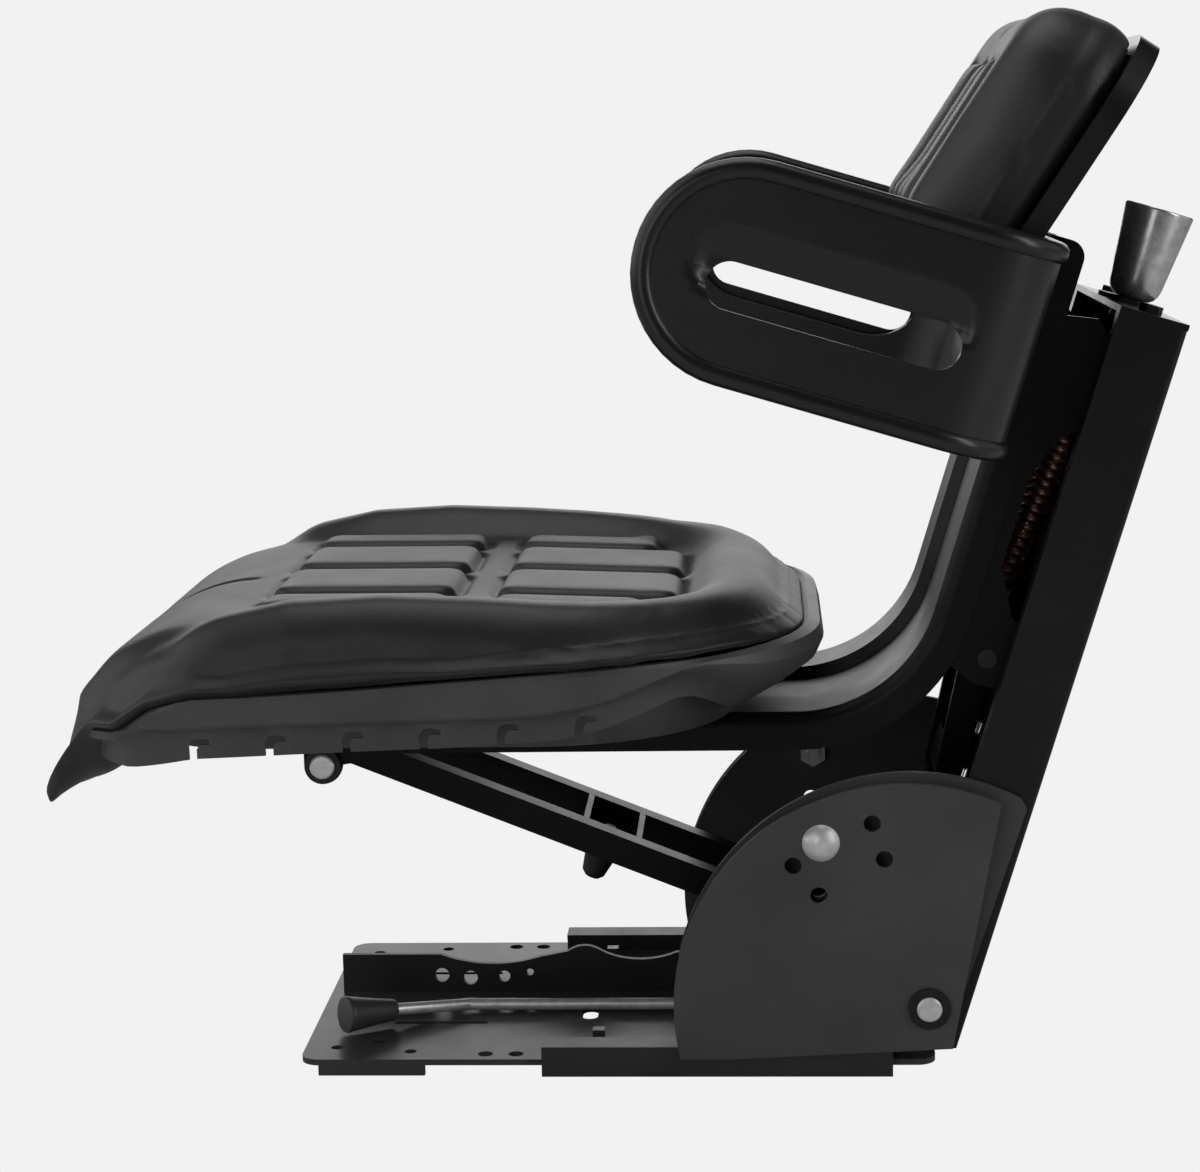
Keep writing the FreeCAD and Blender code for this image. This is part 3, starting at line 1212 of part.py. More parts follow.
def back_point(up, behind, x=0.0):
    """Point of the back rest: up along its lean and behind its rear face."""
    s = math.sin(math.radians(BACK_LEAN))
    c = math.cos(math.radians(BACK_LEAN))
    return at(FRAME_TOP_A + BACK_RISE, BACK_N, x) + Vector(0, up * s + behind * c, up * c - behind * s)


def back_slab(grow, behind_low, behind_high, low, high):
    """Slab of the back rest with rounded upper corners."""
    half = BACK_HALF + grow
    corner = BACK_CORNER + grow
    foot = 24.0
    k = math.sin(math.radians(45))

    def spot(x, up):
        return back_point(up, behind_low, x)

    start = spot(half, low + foot)
    steps = [
        [spot(half, high - corner)],
        [spot(half - corner + corner * k, high - corner + corner * k), spot(half - corner, high)],
        [spot(-half + corner, high)],
        [spot(-half + corner - corner * k, high - corner + corner * k), spot(-half, high - corner)],
        [spot(-half, low + foot)],
        [spot(-half + foot - foot * k, low + foot - foot * k), spot(-half + foot, low)],
        [spot(half - foot, low)],
        [spot(half - foot + foot * k, low + foot - foot * k), start],
    ]
    depth = back_point(0, behind_high - behind_low) - back_point(0, 0)
    return face(start, steps).extrude(depth)


def back_bolt_places():
    return [(x, along) for x in (-62.0, 62.0) for along in (wing_low_a + 76, wing_low_a + 112)]


def back_shell():
    """Moulded rear shell with a rim around the pad and bosses for the bolts."""
    low = -BACK_BELOW
    high = BACK_ABOVE
    shell = back_slab(BACK_RIM, -BACK_SHELL, 0, low, high)
    wall = wing_zone()
    shell = shell.cut(wall)
    bosses = []
    for x, along in back_bolt_places():
        boss = Part.makeCylinder(SMALL_HEAD_R + 2, 60, at(along, FRAME_N - WING_SHEET - 60, x), tower_across())
        front = back_slab(BACK_RIM + 40, -BACK_SHELL - 200, -BACK_SHELL + 4, low - 60, high)
        bosses.append(boss.cut(front))
    shell = shell.fuse(bosses).removeSplitter()
    for x, along in back_bolt_places():
        shell = shell.cut(Part.makeCylinder(SMALL_BOLT_R, 12, at(along, FRAME_N - WING_SHEET - 8, x), tower_across()))
    return shell


def wing_zone():
    """Space behind the band's inner face, kept free of the back rest."""
    return strip([(wing_low_a - 60, FRAME_N - WING_SHEET - SOFT_CLEAR), (wing_low_a - 60, 80),
                  (wing_low_a + WING_HEIGHT + 0.5, 80),
                  (wing_low_a + WING_HEIGHT + 0.5, FRAME_N - WING_SHEET - SOFT_CLEAR)],
                 -BACK_HALF - 60, BACK_HALF + 60)


def back_pad():
    """Back cushion in front of the shell, crowned."""
    front = -BACK_SHELL - BACK_PAD
    pad = back_slab(0, front, -BACK_SHELL - SOFT_CLEAR, -BACK_BELOW + 6, BACK_ABOVE + 6)
    rims = [edge for edge in pad.Edges if edge_on_plane(edge, front)]
    return pad.makeFillet(26, rims)


def edge_on_plane(edge, behind):
    """True where both ends of an edge lie on the pad's front plane."""
    normal = (back_point(0, 1) - back_point(0, 0))
    return all(abs((vertex.Point - back_point(0, 0)).dot(normal) - behind) < 0.1 for vertex in edge.Vertexes)


def back_bolts():
    """Bolts from behind the frame through the band into the back shell."""
    pieces = []
    for x, along in back_bolt_places():
        rear = FRAME_N + FRAME_SHEET
        head = hexagon(SMALL_HEAD_R, SMALL_HEAD, at(along, rear, x), tower_across())
        shank = Part.makeCylinder(SMALL_BOLT_R, FRAME_SHEET + WING_SHEET + 7, at(along, rear - FRAME_SHEET - WING_SHEET - 7, x),
                                  tower_across())
        pieces.append(head.fuse(shank).removeSplitter())
    return Part.makeCompound(pieces)


def lever_points():
    """Knee, grip foot and tip of the lever: it cranks outwards and up over the plate."""
    knee = Vector(LEVER_X, LEVER_PIVOT_Y - LEVER_REACH + 45, lever_z)
    wrist = Vector(LEVER_X + LEVER_CRANK, LEVER_PIVOT_Y - LEVER_REACH, lever_z + 5)
    reach = math.sqrt(GRIP_LENGTH ** 2 - GRIP_SPREAD ** 2)
    tip = Vector(wrist.x + GRIP_SPREAD, wrist.y - reach, plate_top + GRIP_FRONT_R + 1.5)
    return knee, wrist, tip


def rod(radius, start, end):
    return Part.makeCylinder(radius, (end - start).Length, start, end - start)


def lever_rod():
    """Bent slide lever: pivot post through the bridge, lock tooth, cranked front end."""
    r = LEVER_R
    z = lever_z
    knee, wrist, tip = lever_points()
    rear = Vector(LEVER_X, tooth_y() + TOOTH_WIDTH / 2, z)
    inside = wrist + (tip - wrist).normalize() * 12
    pieces = [rod(r, knee, wrist), rod(r, wrist, inside), Part.makeSphere(r, knee), Part.makeSphere(r, wrist)]
    tooth_tip = RACK_X + RACK_SHEET / 2 + TOOTH_DRAWN_BACK
    half = TOOTH_WIDTH / 2
    pieces.append(block(tooth_tip, LEVER_X, tooth_y() - half, tooth_y() + half, z - 3, z + 3))
    pieces.append(Part.makeCylinder(r, cross_top - z + 3, Vector(LEVER_X, LEVER_PIVOT_Y, z)))
    return rod(r, rear, knee).fuse(pieces).removeSplitter()


def lever_grip():
    """Flared grip on the lever's front end."""
    knee, wrist, tip = lever_points()
    direction = (tip - wrist).normalize()
    length = (tip - wrist).Length
    foot = 4.0
    profile = [(LEVER_R, foot), (GRIP_REAR_R, foot), (GRIP_REAR_R + 0.5, foot + 2), (GRIP_FRONT_R, length - 2),
               (GRIP_FRONT_R - 2, length), (0, length), (0, 12), (LEVER_R, 12)]
    return turned(profile, wrist, direction)


def lever_clip():
    """Retaining washer on the lever's pivot post, just above the bridge."""
    base = Vector(LEVER_X, LEVER_PIVOT_Y, cross_top + 0.1)
    ring = Part.makeCylinder(LEVER_R + 5, 2, base)
    return ring.cut(Part.makeCylinder(LEVER_R, 4, base - Vector(0, 0, 1)))


def parts():
    """All nodes by name."""
    nodes = {
        "lower_plate": lower_plate(),
        "lock_rack": lock_rack(),
        "cross_plate": cross_plate(),
        "tower": tower(),
        "top_plate": top_plate(),
        "top_bolts": top_bolts(),
        "pivot_pin": pivot_pin(),
        "pivot_rings": pivot_rings(),
        "plate_spacers": plate_spacers(),
        "carriage_bolts": carriage_bolts(),
        "carriage_nuts": carriage_nuts(),
        "thrust_washer": thrust_washer(),
        "weight_knob": knob(),
        "adjuster_screw": adjuster_screw(),
        "spring_yoke": yoke(),
        "roller_axles": roller_axles(),
        "anchor_bar": anchor_bar(),
        "anchor_straps": anchor_straps(),
        "damper_tube": damper_tube(),
        "damper_rod": damper_rod(),
        "seat_frame": seat_frame(),
        "arm_tie": arm_tie(),
        "arm_hub_tube": arm_hub_tube(),
        "bump_stop": bump_stop(),
        "bump_bolt": bump_bolt(),
        "front_pin": front_pin(),
        "front_pin_rings": front_pin_rings(),
        "seat_pan": seat_pan(),
        "pan_bolts": pan_bolts(),
        "cushion": cushion(),
        "wing_shell": wing_shell(),
        "wing_trim": wing_trim(),
        "wing_lining": wing_lining(),
        "back_shell": back_shell(),
        "back_pad": back_pad(),
        "back_bolts": back_bolts(),
        "lever_rod": lever_rod(),
        "lever_grip": lever_grip(),
        "lever_clip": lever_clip(),
    }
    for name, side in (("left", 1), ("right", -1)):
        nodes["rail_" + name] = rail(side)
        nodes["runner_" + name] = runner(side)
        nodes["side_plate_" + name] = side_plate(side)
        nodes["tilt_plate_" + name] = tilt_plate(side)
        nodes["spring_" + name] = spring(side)
        nodes["carriage_" + name] = carriage(side)
        nodes["upper_roller_" + name] = roller(UPPER_ROLLER, side)
        nodes["lower_roller_" + name] = roller(LOWER_ROLLER, side)
        nodes["front_ear_" + name] = front_ear(side)
        nodes["arm_" + name] = arm(side)
    return nodes


os.makedirs("parts", exist_ok=True)
for node_name, shape in parts().items():
    shape.exportStep("parts/" + node_name + ".step")
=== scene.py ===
import json
import math

import bmesh
import bpy
from mathutils import Matrix, Vector


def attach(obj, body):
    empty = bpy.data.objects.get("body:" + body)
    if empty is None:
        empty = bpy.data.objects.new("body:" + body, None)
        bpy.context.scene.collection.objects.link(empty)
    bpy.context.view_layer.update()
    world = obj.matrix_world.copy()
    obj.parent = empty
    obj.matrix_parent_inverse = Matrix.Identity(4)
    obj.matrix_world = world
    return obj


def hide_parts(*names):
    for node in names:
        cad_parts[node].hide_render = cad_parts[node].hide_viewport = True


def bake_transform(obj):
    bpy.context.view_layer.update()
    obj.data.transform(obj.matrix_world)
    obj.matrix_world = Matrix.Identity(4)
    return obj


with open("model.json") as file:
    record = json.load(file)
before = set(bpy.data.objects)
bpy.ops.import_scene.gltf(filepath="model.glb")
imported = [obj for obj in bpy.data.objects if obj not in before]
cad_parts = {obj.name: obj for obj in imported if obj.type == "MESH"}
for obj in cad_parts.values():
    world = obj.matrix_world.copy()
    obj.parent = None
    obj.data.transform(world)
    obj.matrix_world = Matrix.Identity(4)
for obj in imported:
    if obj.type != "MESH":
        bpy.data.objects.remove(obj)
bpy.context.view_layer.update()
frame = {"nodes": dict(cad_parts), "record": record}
print("frame loaded,", len(frame["nodes"]), "CAD nodes")

# Small helpers for modelling with the operators


def deselectAll():
    for item in bpy.context.selected_objects:
        item.select_set(False)


def makeActive(piece):
    deselectAll()
    piece.select_set(True)
    bpy.context.view_layer.objects.active = piece


def started(name):
    piece = bpy.context.active_object
    piece.name = name
    piece.data.name = name
    return piece


def applyPlace(piece):  # object origin back to the world origin, unturned
    makeActive(piece)
    bpy.ops.object.transform_apply(location=True, rotation=True, scale=True)


def applyModifiers(piece):
    makeActive(piece)
    for modifier in list(piece.modifiers):
        bpy.ops.object.modifier_apply(modifier=modifier.name)


def faceOut(piece):  # merges doubles and turns all faces outwards
    makeActive(piece)
    bpy.ops.object.mode_set(mode="EDIT")
    bpy.ops.mesh.select_all(action="SELECT")
    bpy.ops.mesh.remove_doubles(threshold=0.00005)
    bpy.ops.mesh.normals_make_consistent(inside=False)
    bpy.ops.object.mode_set(mode="OBJECT")


def smoothPiece(piece, degrees=35):
    makeActive(piece)
    bpy.ops.object.shade_smooth_by_angle(angle=math.radians(degrees))


def dress(piece, slot, body):
    piece.data.materials.clear()
    piece.data.materials.append(finishes[slot])
    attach(piece, body)


def ramp(value, low, high):  # smooth step from 0 to 1
    share = min(max((value - low) / (high - low), 0.0), 1.0)
    return share * share * (3 - 2 * share)


def along(table, value):  # height between the rows of a table
    if value <= table[0][0]:
        return table[0][1]
    for (x0, y0), (x1, y1) in zip(table, table[1:]):
        if value <= x1:
            return y0 + (y1 - y0) * (value - x0) / (x1 - x0)
    return table[-1][1]


def roundedBox(name, half, front, rear, frontRadius, rearRadius):  # one metre tall, its four upright edges rounded
    middle = (front + rear) / 2
    deselectAll()
    bpy.ops.mesh.primitive_cube_add(size=1, location=(0, middle, 0.5))
    piece = started(name)
    piece.scale = (2 * half, rear - front, 1)
    applyPlace(piece)
    bpy.ops.object.mode_set(mode="EDIT")
    bpy.ops.mesh.select_mode(type="EDGE")
    for sign, radius in ((-1, frontRadius), (1, rearRadius)):
        bpy.ops.mesh.select_all(action="DESELECT")
        mesh = bmesh.from_edit_mesh(piece.data)
        for edge in mesh.edges:
            start, end = edge.verts
            if abs(start.co.z - end.co.z) > 0.5 and sign * (start.co.y - middle) > 0.01:
                edge.select_set(True)
        bmesh.update_edit_mesh(piece.data)
        bpy.ops.mesh.bevel(offset=radius, segments=16, affect="EDGES")
    bpy.ops.object.mode_set(mode="OBJECT")
    return piece


# The leaning tower's own directions, as in the CAD model
tower = {"lean": 17.0, "pivotY": 0.202, "pivotZ": 0.048}
leanSin = math.sin(math.radians(tower["lean"]))
leanCos = math.cos(math.radians(tower["lean"]))
towerUp = Vector((0, leanSin, leanCos))
towerBack = Vector((0, leanCos, -leanSin))


def onTower(up, back, x=0.0):
    return Vector((x, tower["pivotY"], tower["pivotZ"])) + towerUp * up + towerBack * back


# Materials


def newMaterial(name, colour, roughness, **sockets):
    material = bpy.data.materials.new(name)
    material.use_nodes = True
    shader = material.node_tree.nodes["Principled BSDF"]
    shader.inputs["Base Color"].default_value = (*colour, 1)
    shader.inputs["Roughness"].default_value = roughness
    for key, value in sockets.items():
        shader.inputs[key].default_value = value
    return material


def addNode(material, kind, **settings):
    node = material.node_tree.nodes.new(kind)
    for key, value in settings.items():
        if key in node.inputs:
            node.inputs[key].default_value = value
        else:
            setattr(node, key, value)
    return node


def join(material, source, target):
    material.node_tree.links.new(source, target)


def objectPlace(material):
    return addNode(material, "ShaderNodeTexCoord").outputs["Object"]


def addBump(material, height, strength, distance):
    shader = material.node_tree.nodes["Principled BSDF"]
    bump = addNode(material, "ShaderNodeBump", Strength=strength, Distance=distance)
    join(material, height, bump.inputs["Height"])
    join(material, bump.outputs["Normal"], shader.inputs["Normal"])


def addRoughnessSpread(material, texture, low, high):
    shader = material.node_tree.nodes["Principled BSDF"]
    spread = addNode(material, "ShaderNodeMapRange")
    spread.inputs["To Min"].default_value = low
    spread.inputs["To Max"].default_value = high
    join(material, texture, spread.inputs["Value"])
    join(material, spread.outputs["Result"], shader.inputs["Roughness"])


def addColourSpread(material, texture, dark, light, low=0.3, high=0.7):
    shader = material.node_tree.nodes["Principled BSDF"]
    band = addNode(material, "ShaderNodeValToRGB")
    band.color_ramp.elements[0].position = low
    band.color_ramp.elements[0].color = (*dark, 1)
    band.color_ramp.elements[1].position = high
    band.color_ramp.elements[1].color = (*light, 1)
    join(material, texture, band.inputs["Fac"])
    join(material, band.outputs["Color"], shader.inputs["Base Color"])


def noise(material, scale, detail=3.0, roughness=0.5):
    texture = addNode(material, "ShaderNodeTexNoise", Scale=scale, Detail=detail, Roughness=roughness)
    join(material, objectPlace(material), texture.inputs["Vector"])
    return texture.outputs["Fac"]


def paint(name, colour, roughness, peel=0.04):
    material = newMaterial(name, colour, roughness)
    lighter = tuple(channel * 1.35 + 0.002 for channel in colour)
    addColourSpread(material, noise(material, 14.0), colour, lighter)
    addRoughnessSpread(material, noise(material, 45.0), roughness * 0.85, roughness * 1.2)
    addBump(material, noise(material, 420.0, 2.0), peel, 0.0006)  # orange peel of the paint
    return material


def vinyl(name, colour, roughness):
    material = newMaterial(name, colour, roughness)
    shader = material.node_tree.nodes["Principled BSDF"]
    shader.inputs["Sheen Weight"].default_value = 0.12
    shader.inputs["Sheen Roughness"].default_value = 0.35
    grain = addNode(material, "ShaderNodeTexVoronoi", feature="DISTANCE_TO_EDGE", Scale=620.0)
    warp = addNode(material, "ShaderNodeTexNoise", Scale=90.0, Detail=2.0)
    place = objectPlace(material)
    mixed = addNode(material, "ShaderNodeMix", data_type="VECTOR")
    mixed.inputs["Factor"].default_value = 0.004
    join(material, place, warp.inputs["Vector"])
    join(material, place, mixed.inputs["A"])
    join(material, warp.outputs["Color"], mixed.inputs["B"])
    join(material, mixed.outputs["Result"], grain.inputs["Vector"])
    addBump(material, grain.outputs["Distance"], 0.22, 0.0008)
    lighter = tuple(channel * 1.3 for channel in colour)
    addColourSpread(material, noise(material, 9.0), colour, lighter)
    addRoughnessSpread(material, noise(material, 30.0), roughness * 0.9, roughness * 1.12)
    return material


def brushedMetal(name, colour, roughness, stretch=(1.0, 1.0, 1.0)):
    material = newMaterial(name, colour, roughness, Metallic=1.0)
    mapping = addNode(material, "ShaderNodeMapping")
    mapping.inputs["Scale"].default_value = stretch
    join(material, objectPlace(material), mapping.inputs["Vector"])
    scratches = addNode(material, "ShaderNodeTexNoise", Scale=160.0, Detail=4.0)
    join(material, mapping.outputs["Vector"], scratches.inputs["Vector"])
    darker = tuple(channel * 0.72 for channel in colour)
    addColourSpread(material, scratches.outputs["Fac"], darker, colour)
    addRoughnessSpread(material, noise(material, 60.0), roughness * 0.7, roughness * 1.5)
    addBump(material, scratches.outputs["Fac"], 0.08, 0.0004)
    return material


def moulded(name, colour, roughness, grain=500.0, strength=0.1):
    material = newMaterial(name, colour, roughness)
    lighter = tuple(channel * 1.4 for channel in colour)
    addColourSpread(material, noise(material, 20.0), colour, lighter)
    addRoughnessSpread(material, noise(material, 70.0), roughness * 0.88, roughness * 1.15)
    addBump(material, noise(material, grain, 2.0), strength, 0.0005)
    return material


finishes = {
    "plate_grey": paint("satin grey plate paint", (0.045, 0.045, 0.048), 0.3),
    "rack_black": paint("black rack paint", (0.008, 0.008, 0.008), 0.4),
    "rail_grey": paint("satin rail paint", (0.02, 0.02, 0.021), 0.38),
    "runner_nylon": moulded("runner nylon", (0.012, 0.012, 0.012), 0.5),
    "side_black": paint("matt black side plate paint", (0.051, 0.052, 0.051), 0.55, 0.07),
    "tower_black": paint("black tower paint", (0.006, 0.006, 0.0065), 0.3, 0.03),
    "frame_black": paint("gloss black frame paint", (0.004, 0.004, 0.0045), 0.34, 0.02),
    "zinc": brushedMetal("bright zinc plate", (0.95, 0.95, 0.95), 0.34),
    "dark_steel": brushedMetal("dark phosphate steel", (0.05, 0.05, 0.055), 0.42),
    "rod_chrome": brushedMetal("polished rod", (0.85, 0.86, 0.88), 0.1, (1, 1, 0.1)),
    "spring_steel": brushedMetal("oiled spring wire", (0.95, 0.60, 0.48), 0.34),
    "rubber": moulded("black rubber", (0.012, 0.012, 0.012), 0.6, 300.0, 0.15),
    "knob_plastic": brushedMetal("smooth plated knob", (0.70, 0.70, 0.71), 0.24),
    "grip_plastic": moulded("lever grip plastic", (0.045, 0.045, 0.045), 0.45),
    "vinyl": vinyl("black seat vinyl", (0.011, 0.011, 0.0115), 0.44),
    "shell_plastic": moulded("moulded shell plastic", (0.008, 0.008, 0.0085), 0.28, 700.0, 0.04),
    "pan_plastic": moulded("seat pan plastic", (0.053, 0.053, 0.051), 0.42, 600.0, 0.08),
}
for name, level in (("frame_black", 0.14), ("tower_black", 0.3), ("plate_grey", 0.33)):
    finishes[name].node_tree.nodes["Principled BSDF"].inputs["Specular IOR Level"].default_value = level
for name, level in (("knob_plastic", 0.8), ("zinc", 0.5)):
    finishes[name].node_tree.nodes["Principled BSDF"].inputs["Metallic"].default_value = level
nodeSlots = {entry["node"]: entry["material_slot"] for entry in frame["record"]["subparts"]}
for nodeName, node in frame["nodes"].items():
    node.data.materials.clear()
    node.data.materials.append(finishes[nodeSlots[nodeName]])
print("materials made,", len(finishes), "finishes")

# Camera, floor, world and lights
view = {
    "place": (1.80416, 0.09795, 0.60799), "yaw": 3.468, "pitch": 9.636, "roll": -1.233,
    "focalPixels": 2703.7, "widthPixels": 1200.0, "sensor": 36.0,
}


def addCamera():
    yaw, pitch, roll = (math.radians(view[key]) for key in ("yaw", "pitch", "roll"))
    ahead = Vector((-math.cos(pitch) * math.cos(yaw), -math.cos(pitch) * math.sin(yaw), -math.sin(pitch)))
    right = ahead.cross(Vector((0, 0, 1))).normalized()
    above = right.cross(ahead)
    right, above = (right * math.cos(roll) + above * math.sin(roll), above * math.cos(roll) - right * math.sin(roll))
    turn = Matrix((right, above, -ahead)).transposed().to_4x4()
    data = bpy.data.cameras.new("photoCamera")
    data.sensor_width = view["sensor"]
    data.lens = view["focalPixels"] / view["widthPixels"] * view["sensor"]
    data.clip_end = 60
    camera = bpy.data.objects.new("photoCamera", data)
    camera.matrix_world = Matrix.Translation(view["place"]) @ turn
    bpy.context.collection.objects.link(camera)
    bpy.context.scene.camera = camera


def addLight(name, place, aim, size, power):
    data = bpy.data.lights.new(name, "AREA")
    data.shape = "RECTANGLE"
    data.size, data.size_y = size
    data.energy = power
    light = bpy.data.objects.new(name, data)
    light.location = place
    light.rotation_euler = (Vector(aim) - Vector(place)).to_track_quat("-Z", "Y").to_euler()
    bpy.context.collection.objects.link(light)


studio = {
    "backdrop": 0.886, "floorSize": 40.0, "floorDrop": -0.0006, "floorGrey": 0.7, "base": 0.025,
    # direction, cosine where it starts, cosine where it is full, strength
    "glows": [((-1.0, 0.0, 0.03), 0.88, 0.97, 1.9), ((0.15, 1.0, 0.1), 0.55, 0.9, 0.42),
              ((0.1, -1.0, 0.3), 0.55, 0.92, 1.0), ((0.0, 0.0, 1.0), 0.75, 0.98, 0.10)],
    # name, place, aim, size, power
    "lights": [("overhead", (-0.3, -0.1, 2.4), (0, 0, 0.3), (1.4, 2.0), 13),
               ("nearSide", (2.6, -0.9, 0.9), (0, 0, 0.3), (1.2, 1.4), 7),
               ("rearStrip", (1.1, 1.9, 1.0), (0, 0.2, 0.35), (0.5, 1.6), 8)],
}


def addStudio():
    world = bpy.data.worlds.new("studio")
    bpy.context.scene.world = world
    world.use_nodes = True
    nodes, links = world.node_tree.nodes, world.node_tree.links
    nodes.clear()
    out = nodes.new("ShaderNodeOutputWorld")
    shown, lit = nodes.new("ShaderNodeBackground"), nodes.new("ShaderNodeBackground")
    shown.inputs["Color"].default_value = (studio["backdrop"],) * 3 + (1,)
    path, mix = nodes.new("ShaderNodeLightPath"), nodes.new("ShaderNodeMixShader")
    place = nodes.new("ShaderNodeTexCoord")
    last = None
    for direction, start, full, strength in studio["glows"]:  # soft glows around the dark room
        facing, spread = nodes.new("ShaderNodeVectorMath"), nodes.new("ShaderNodeMapRange")
        facing.operation = "DOT_PRODUCT"
        facing.inputs[1].default_value = Vector(direction).normalized()
        spread.interpolation_type = "SMOOTHSTEP"
        for key, value in (("From Min", start), ("From Max", full), ("To Min", 0.0), ("To Max", strength)):
            spread.inputs[key].default_value = value
        links.new(place.outputs["Generated"], facing.inputs[0])
        links.new(facing.outputs["Value"], spread.inputs["Value"])
        total = nodes.new("ShaderNodeMath")
        if last:
            links.new(last, total.inputs[1])
        else:
            total.inputs[1].default_value = studio["base"]
        links.new(spread.outputs["Result"], total.inputs[0])
        last = total.outputs["Value"]
    links.new(last, lit.inputs["Color"])
    links.new(path.outputs["Is Camera Ray"], mix.inputs["Fac"])
    links.new(lit.outputs["Background"], mix.inputs[1])
    links.new(shown.outputs["Background"], mix.inputs[2])
    links.new(mix.outputs["Shader"], out.inputs["Surface"])

    deselectAll()
    bpy.ops.mesh.primitive_plane_add(size=studio["floorSize"], location=(0, 0, studio["floorDrop"]))
    floor = started("paleFloor")
    applyPlace(floor)
    material = bpy.data.materials.new("pale floor")
    material.use_nodes = True
    nodes, links = material.node_tree.nodes, material.node_tree.links
    nodes.clear()
    out, diffuse = nodes.new("ShaderNodeOutputMaterial"), nodes.new("ShaderNodeBsdfDiffuse")
    glow = nodes.new("ShaderNodeEmission")
    path, mix = nodes.new("ShaderNodeLightPath"), nodes.new("ShaderNodeMixShader")
    diffuse.inputs["Color"].default_value = (studio["floorGrey"],) * 3 + (1,)
    glow.inputs["Color"].default_value = (studio["backdrop"],) * 3 + (1,)
    links.new(path.outputs["Is Camera Ray"], mix.inputs["Fac"])
    links.new(diffuse.outputs["BSDF"], mix.inputs[1])
    links.new(glow.outputs["Emission"], mix.inputs[2])
    links.new(mix.outputs["Shader"], out.inputs["Surface"])
    floor.data.materials.append(material)

    for name, place, aim, size, power in studio["lights"]:
        addLight(name, place, aim, size, power)
    scene = bpy.context.scene
    scene.view_settings.view_transform = "Standard"
    scene.view_settings.look = "None"


addCamera()
addStudio()
print("camera and studio set")

# Turned pieces: a circle extruded ring by ring


def turnedPiece(name, rings, base, direction, segments):
    deselectAll()
    radius, height = rings[0]
    bpy.ops.mesh.primitive_circle_add(vertices=segments, radius=radius, fill_type="NGON", location=(0, 0, height))
    piece = started(name)
    bpy.ops.object.mode_set(mode="EDIT")
    bpy.ops.mesh.select_all(action="SELECT")
    for (oldRadius, oldHeight), (newRadius, newHeight) in zip(rings, rings[1:]):
        bpy.ops.mesh.extrude_region_move(TRANSFORM_OT_translate={"value": (0, 0, newHeight - oldHeight)})
        share = newRadius / oldRadius
        bpy.ops.transform.resize(value=(share, share, 1), center_override=(0, 0, newHeight))
    bpy.ops.object.mode_set(mode="OBJECT")
    piece.matrix_world = Matrix.Translation(base) @ direction.to_track_quat("Z", "Y").to_matrix().to_4x4()
    applyPlace(piece)
    faceOut(piece)
    smoothPiece(piece)
    return piece


knob = {
    "foot": 0.463, "across": 0.006,
    "rings": [(0.0085, 0), (0.0115, 0.0006), (0.0142, 0.0024), (0.0163, 0.0055), (0.0174, 0.0095), (0.0179, 0.014),
              (0.0229, 0.0592), (0.0228, 0.0601), (0.0222, 0.0608), (0.0212, 0.061), (0.018, 0.0606),
              (0.004, 0.0602)],
}


def addKnob():
    piece = turnedPiece("weightKnobTurned", knob["rings"], onTower(knob["foot"], knob["across"]), towerUp, 96)
    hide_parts("weight_knob")
    dress(piece, "knob_plastic", "knob")


addKnob()
print("knob turned")

# Springs wound with the screw modifier
spring = {
    "x": 0.025, "top": (0.380, -0.009), "low": (0.222, -0.027), "radius": 0.0079, "wire": 0.0021, "turns": 21,
    "wireSides": 10, "turnSteps": 20, "hook": 0.0105, "hookSteps": 7, "barRadius": 0.006, "pinRadius": 0.0025,
}


def addSpring(name, node, x):
    low, top = onTower(*spring["low"], x), onTower(*spring["top"], x)
    direction = (top - low).normalized()
    low += direction * (spring["barRadius"] + spring["hook"])
    top -= direction * (spring["pinRadius"] + spring["hook"])
    length = (top - low).length
    deselectAll()
    bpy.ops.mesh.primitive_circle_add(vertices=spring["wireSides"], radius=spring["wire"],
                                      location=(spring["radius"], 0, 0), rotation=(math.radians(90), 0, 0))
    piece = started(name)
    applyPlace(piece)
    winding = piece.modifiers.new("winding", "SCREW")
    winding.axis = "Z"
    winding.angle = math.radians(360)
    winding.screw_offset = length / spring["turns"]
    winding.iterations = spring["turns"]
    winding.steps = winding.render_steps = spring["turnSteps"]
    winding.use_merge_vertices = False
    applyModifiers(piece)
    # both ends of the wire run inwards to the axis and from there round the bar or the pin
    hooks = []
    for end, sign, pin in ((0.0, -1, spring["barRadius"]), (length, 1, spring["pinRadius"])):
        curve = bpy.data.curves.new(name + "Hook", "CURVE")
        curve.dimensions = "3D"
        line = curve.splines.new("POLY")
        reach = spring["hook"] + pin
        bend = pin + spring["wire"] * 1.1
        points = [(spring["radius"], 0, end), (spring["radius"] * 0.8, 0, end + sign * 0.002),
                  (0.0015, 0, end + sign * 0.0035), (0, bend * 0.9, end + sign * (reach - bend * 0.9))]
        for step in range(spring["hookSteps"]):
            turn = math.pi * (step + 1) / (spring["hookSteps"] + 0.5)
            points.append((0, bend * math.cos(turn), end + sign * (reach + bend * math.sin(turn))))
        line.points.add(len(points) - 1)
        for point, place in zip(line.points, points):
            point.co = (*place, 1)
        curve.bevel_depth = spring["wire"]
        curve.bevel_resolution = 2
        curve.use_fill_caps = True
        hook = bpy.data.objects.new(name + "Hook", curve)
        bpy.context.collection.objects.link(hook)
        makeActive(hook)
        bpy.ops.object.convert(target="MESH")
        hooks.append(bpy.context.active_object)
    deselectAll()
    for item in hooks + [piece]:
        item.select_set(True)
    bpy.context.view_layer.objects.active = piece
    bpy.ops.object.join()
    piece.matrix_world = Matrix.Translation(low) @ direction.to_track_quat("Z", "Y").to_matrix().to_4x4()
    applyPlace(piece)
    faceOut(piece)
    smoothPiece(piece, 60)
    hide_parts(node)
    piece.data.materials.clear()
    piece.data.materials.append(finishes["spring_steel"])
    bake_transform(piece)


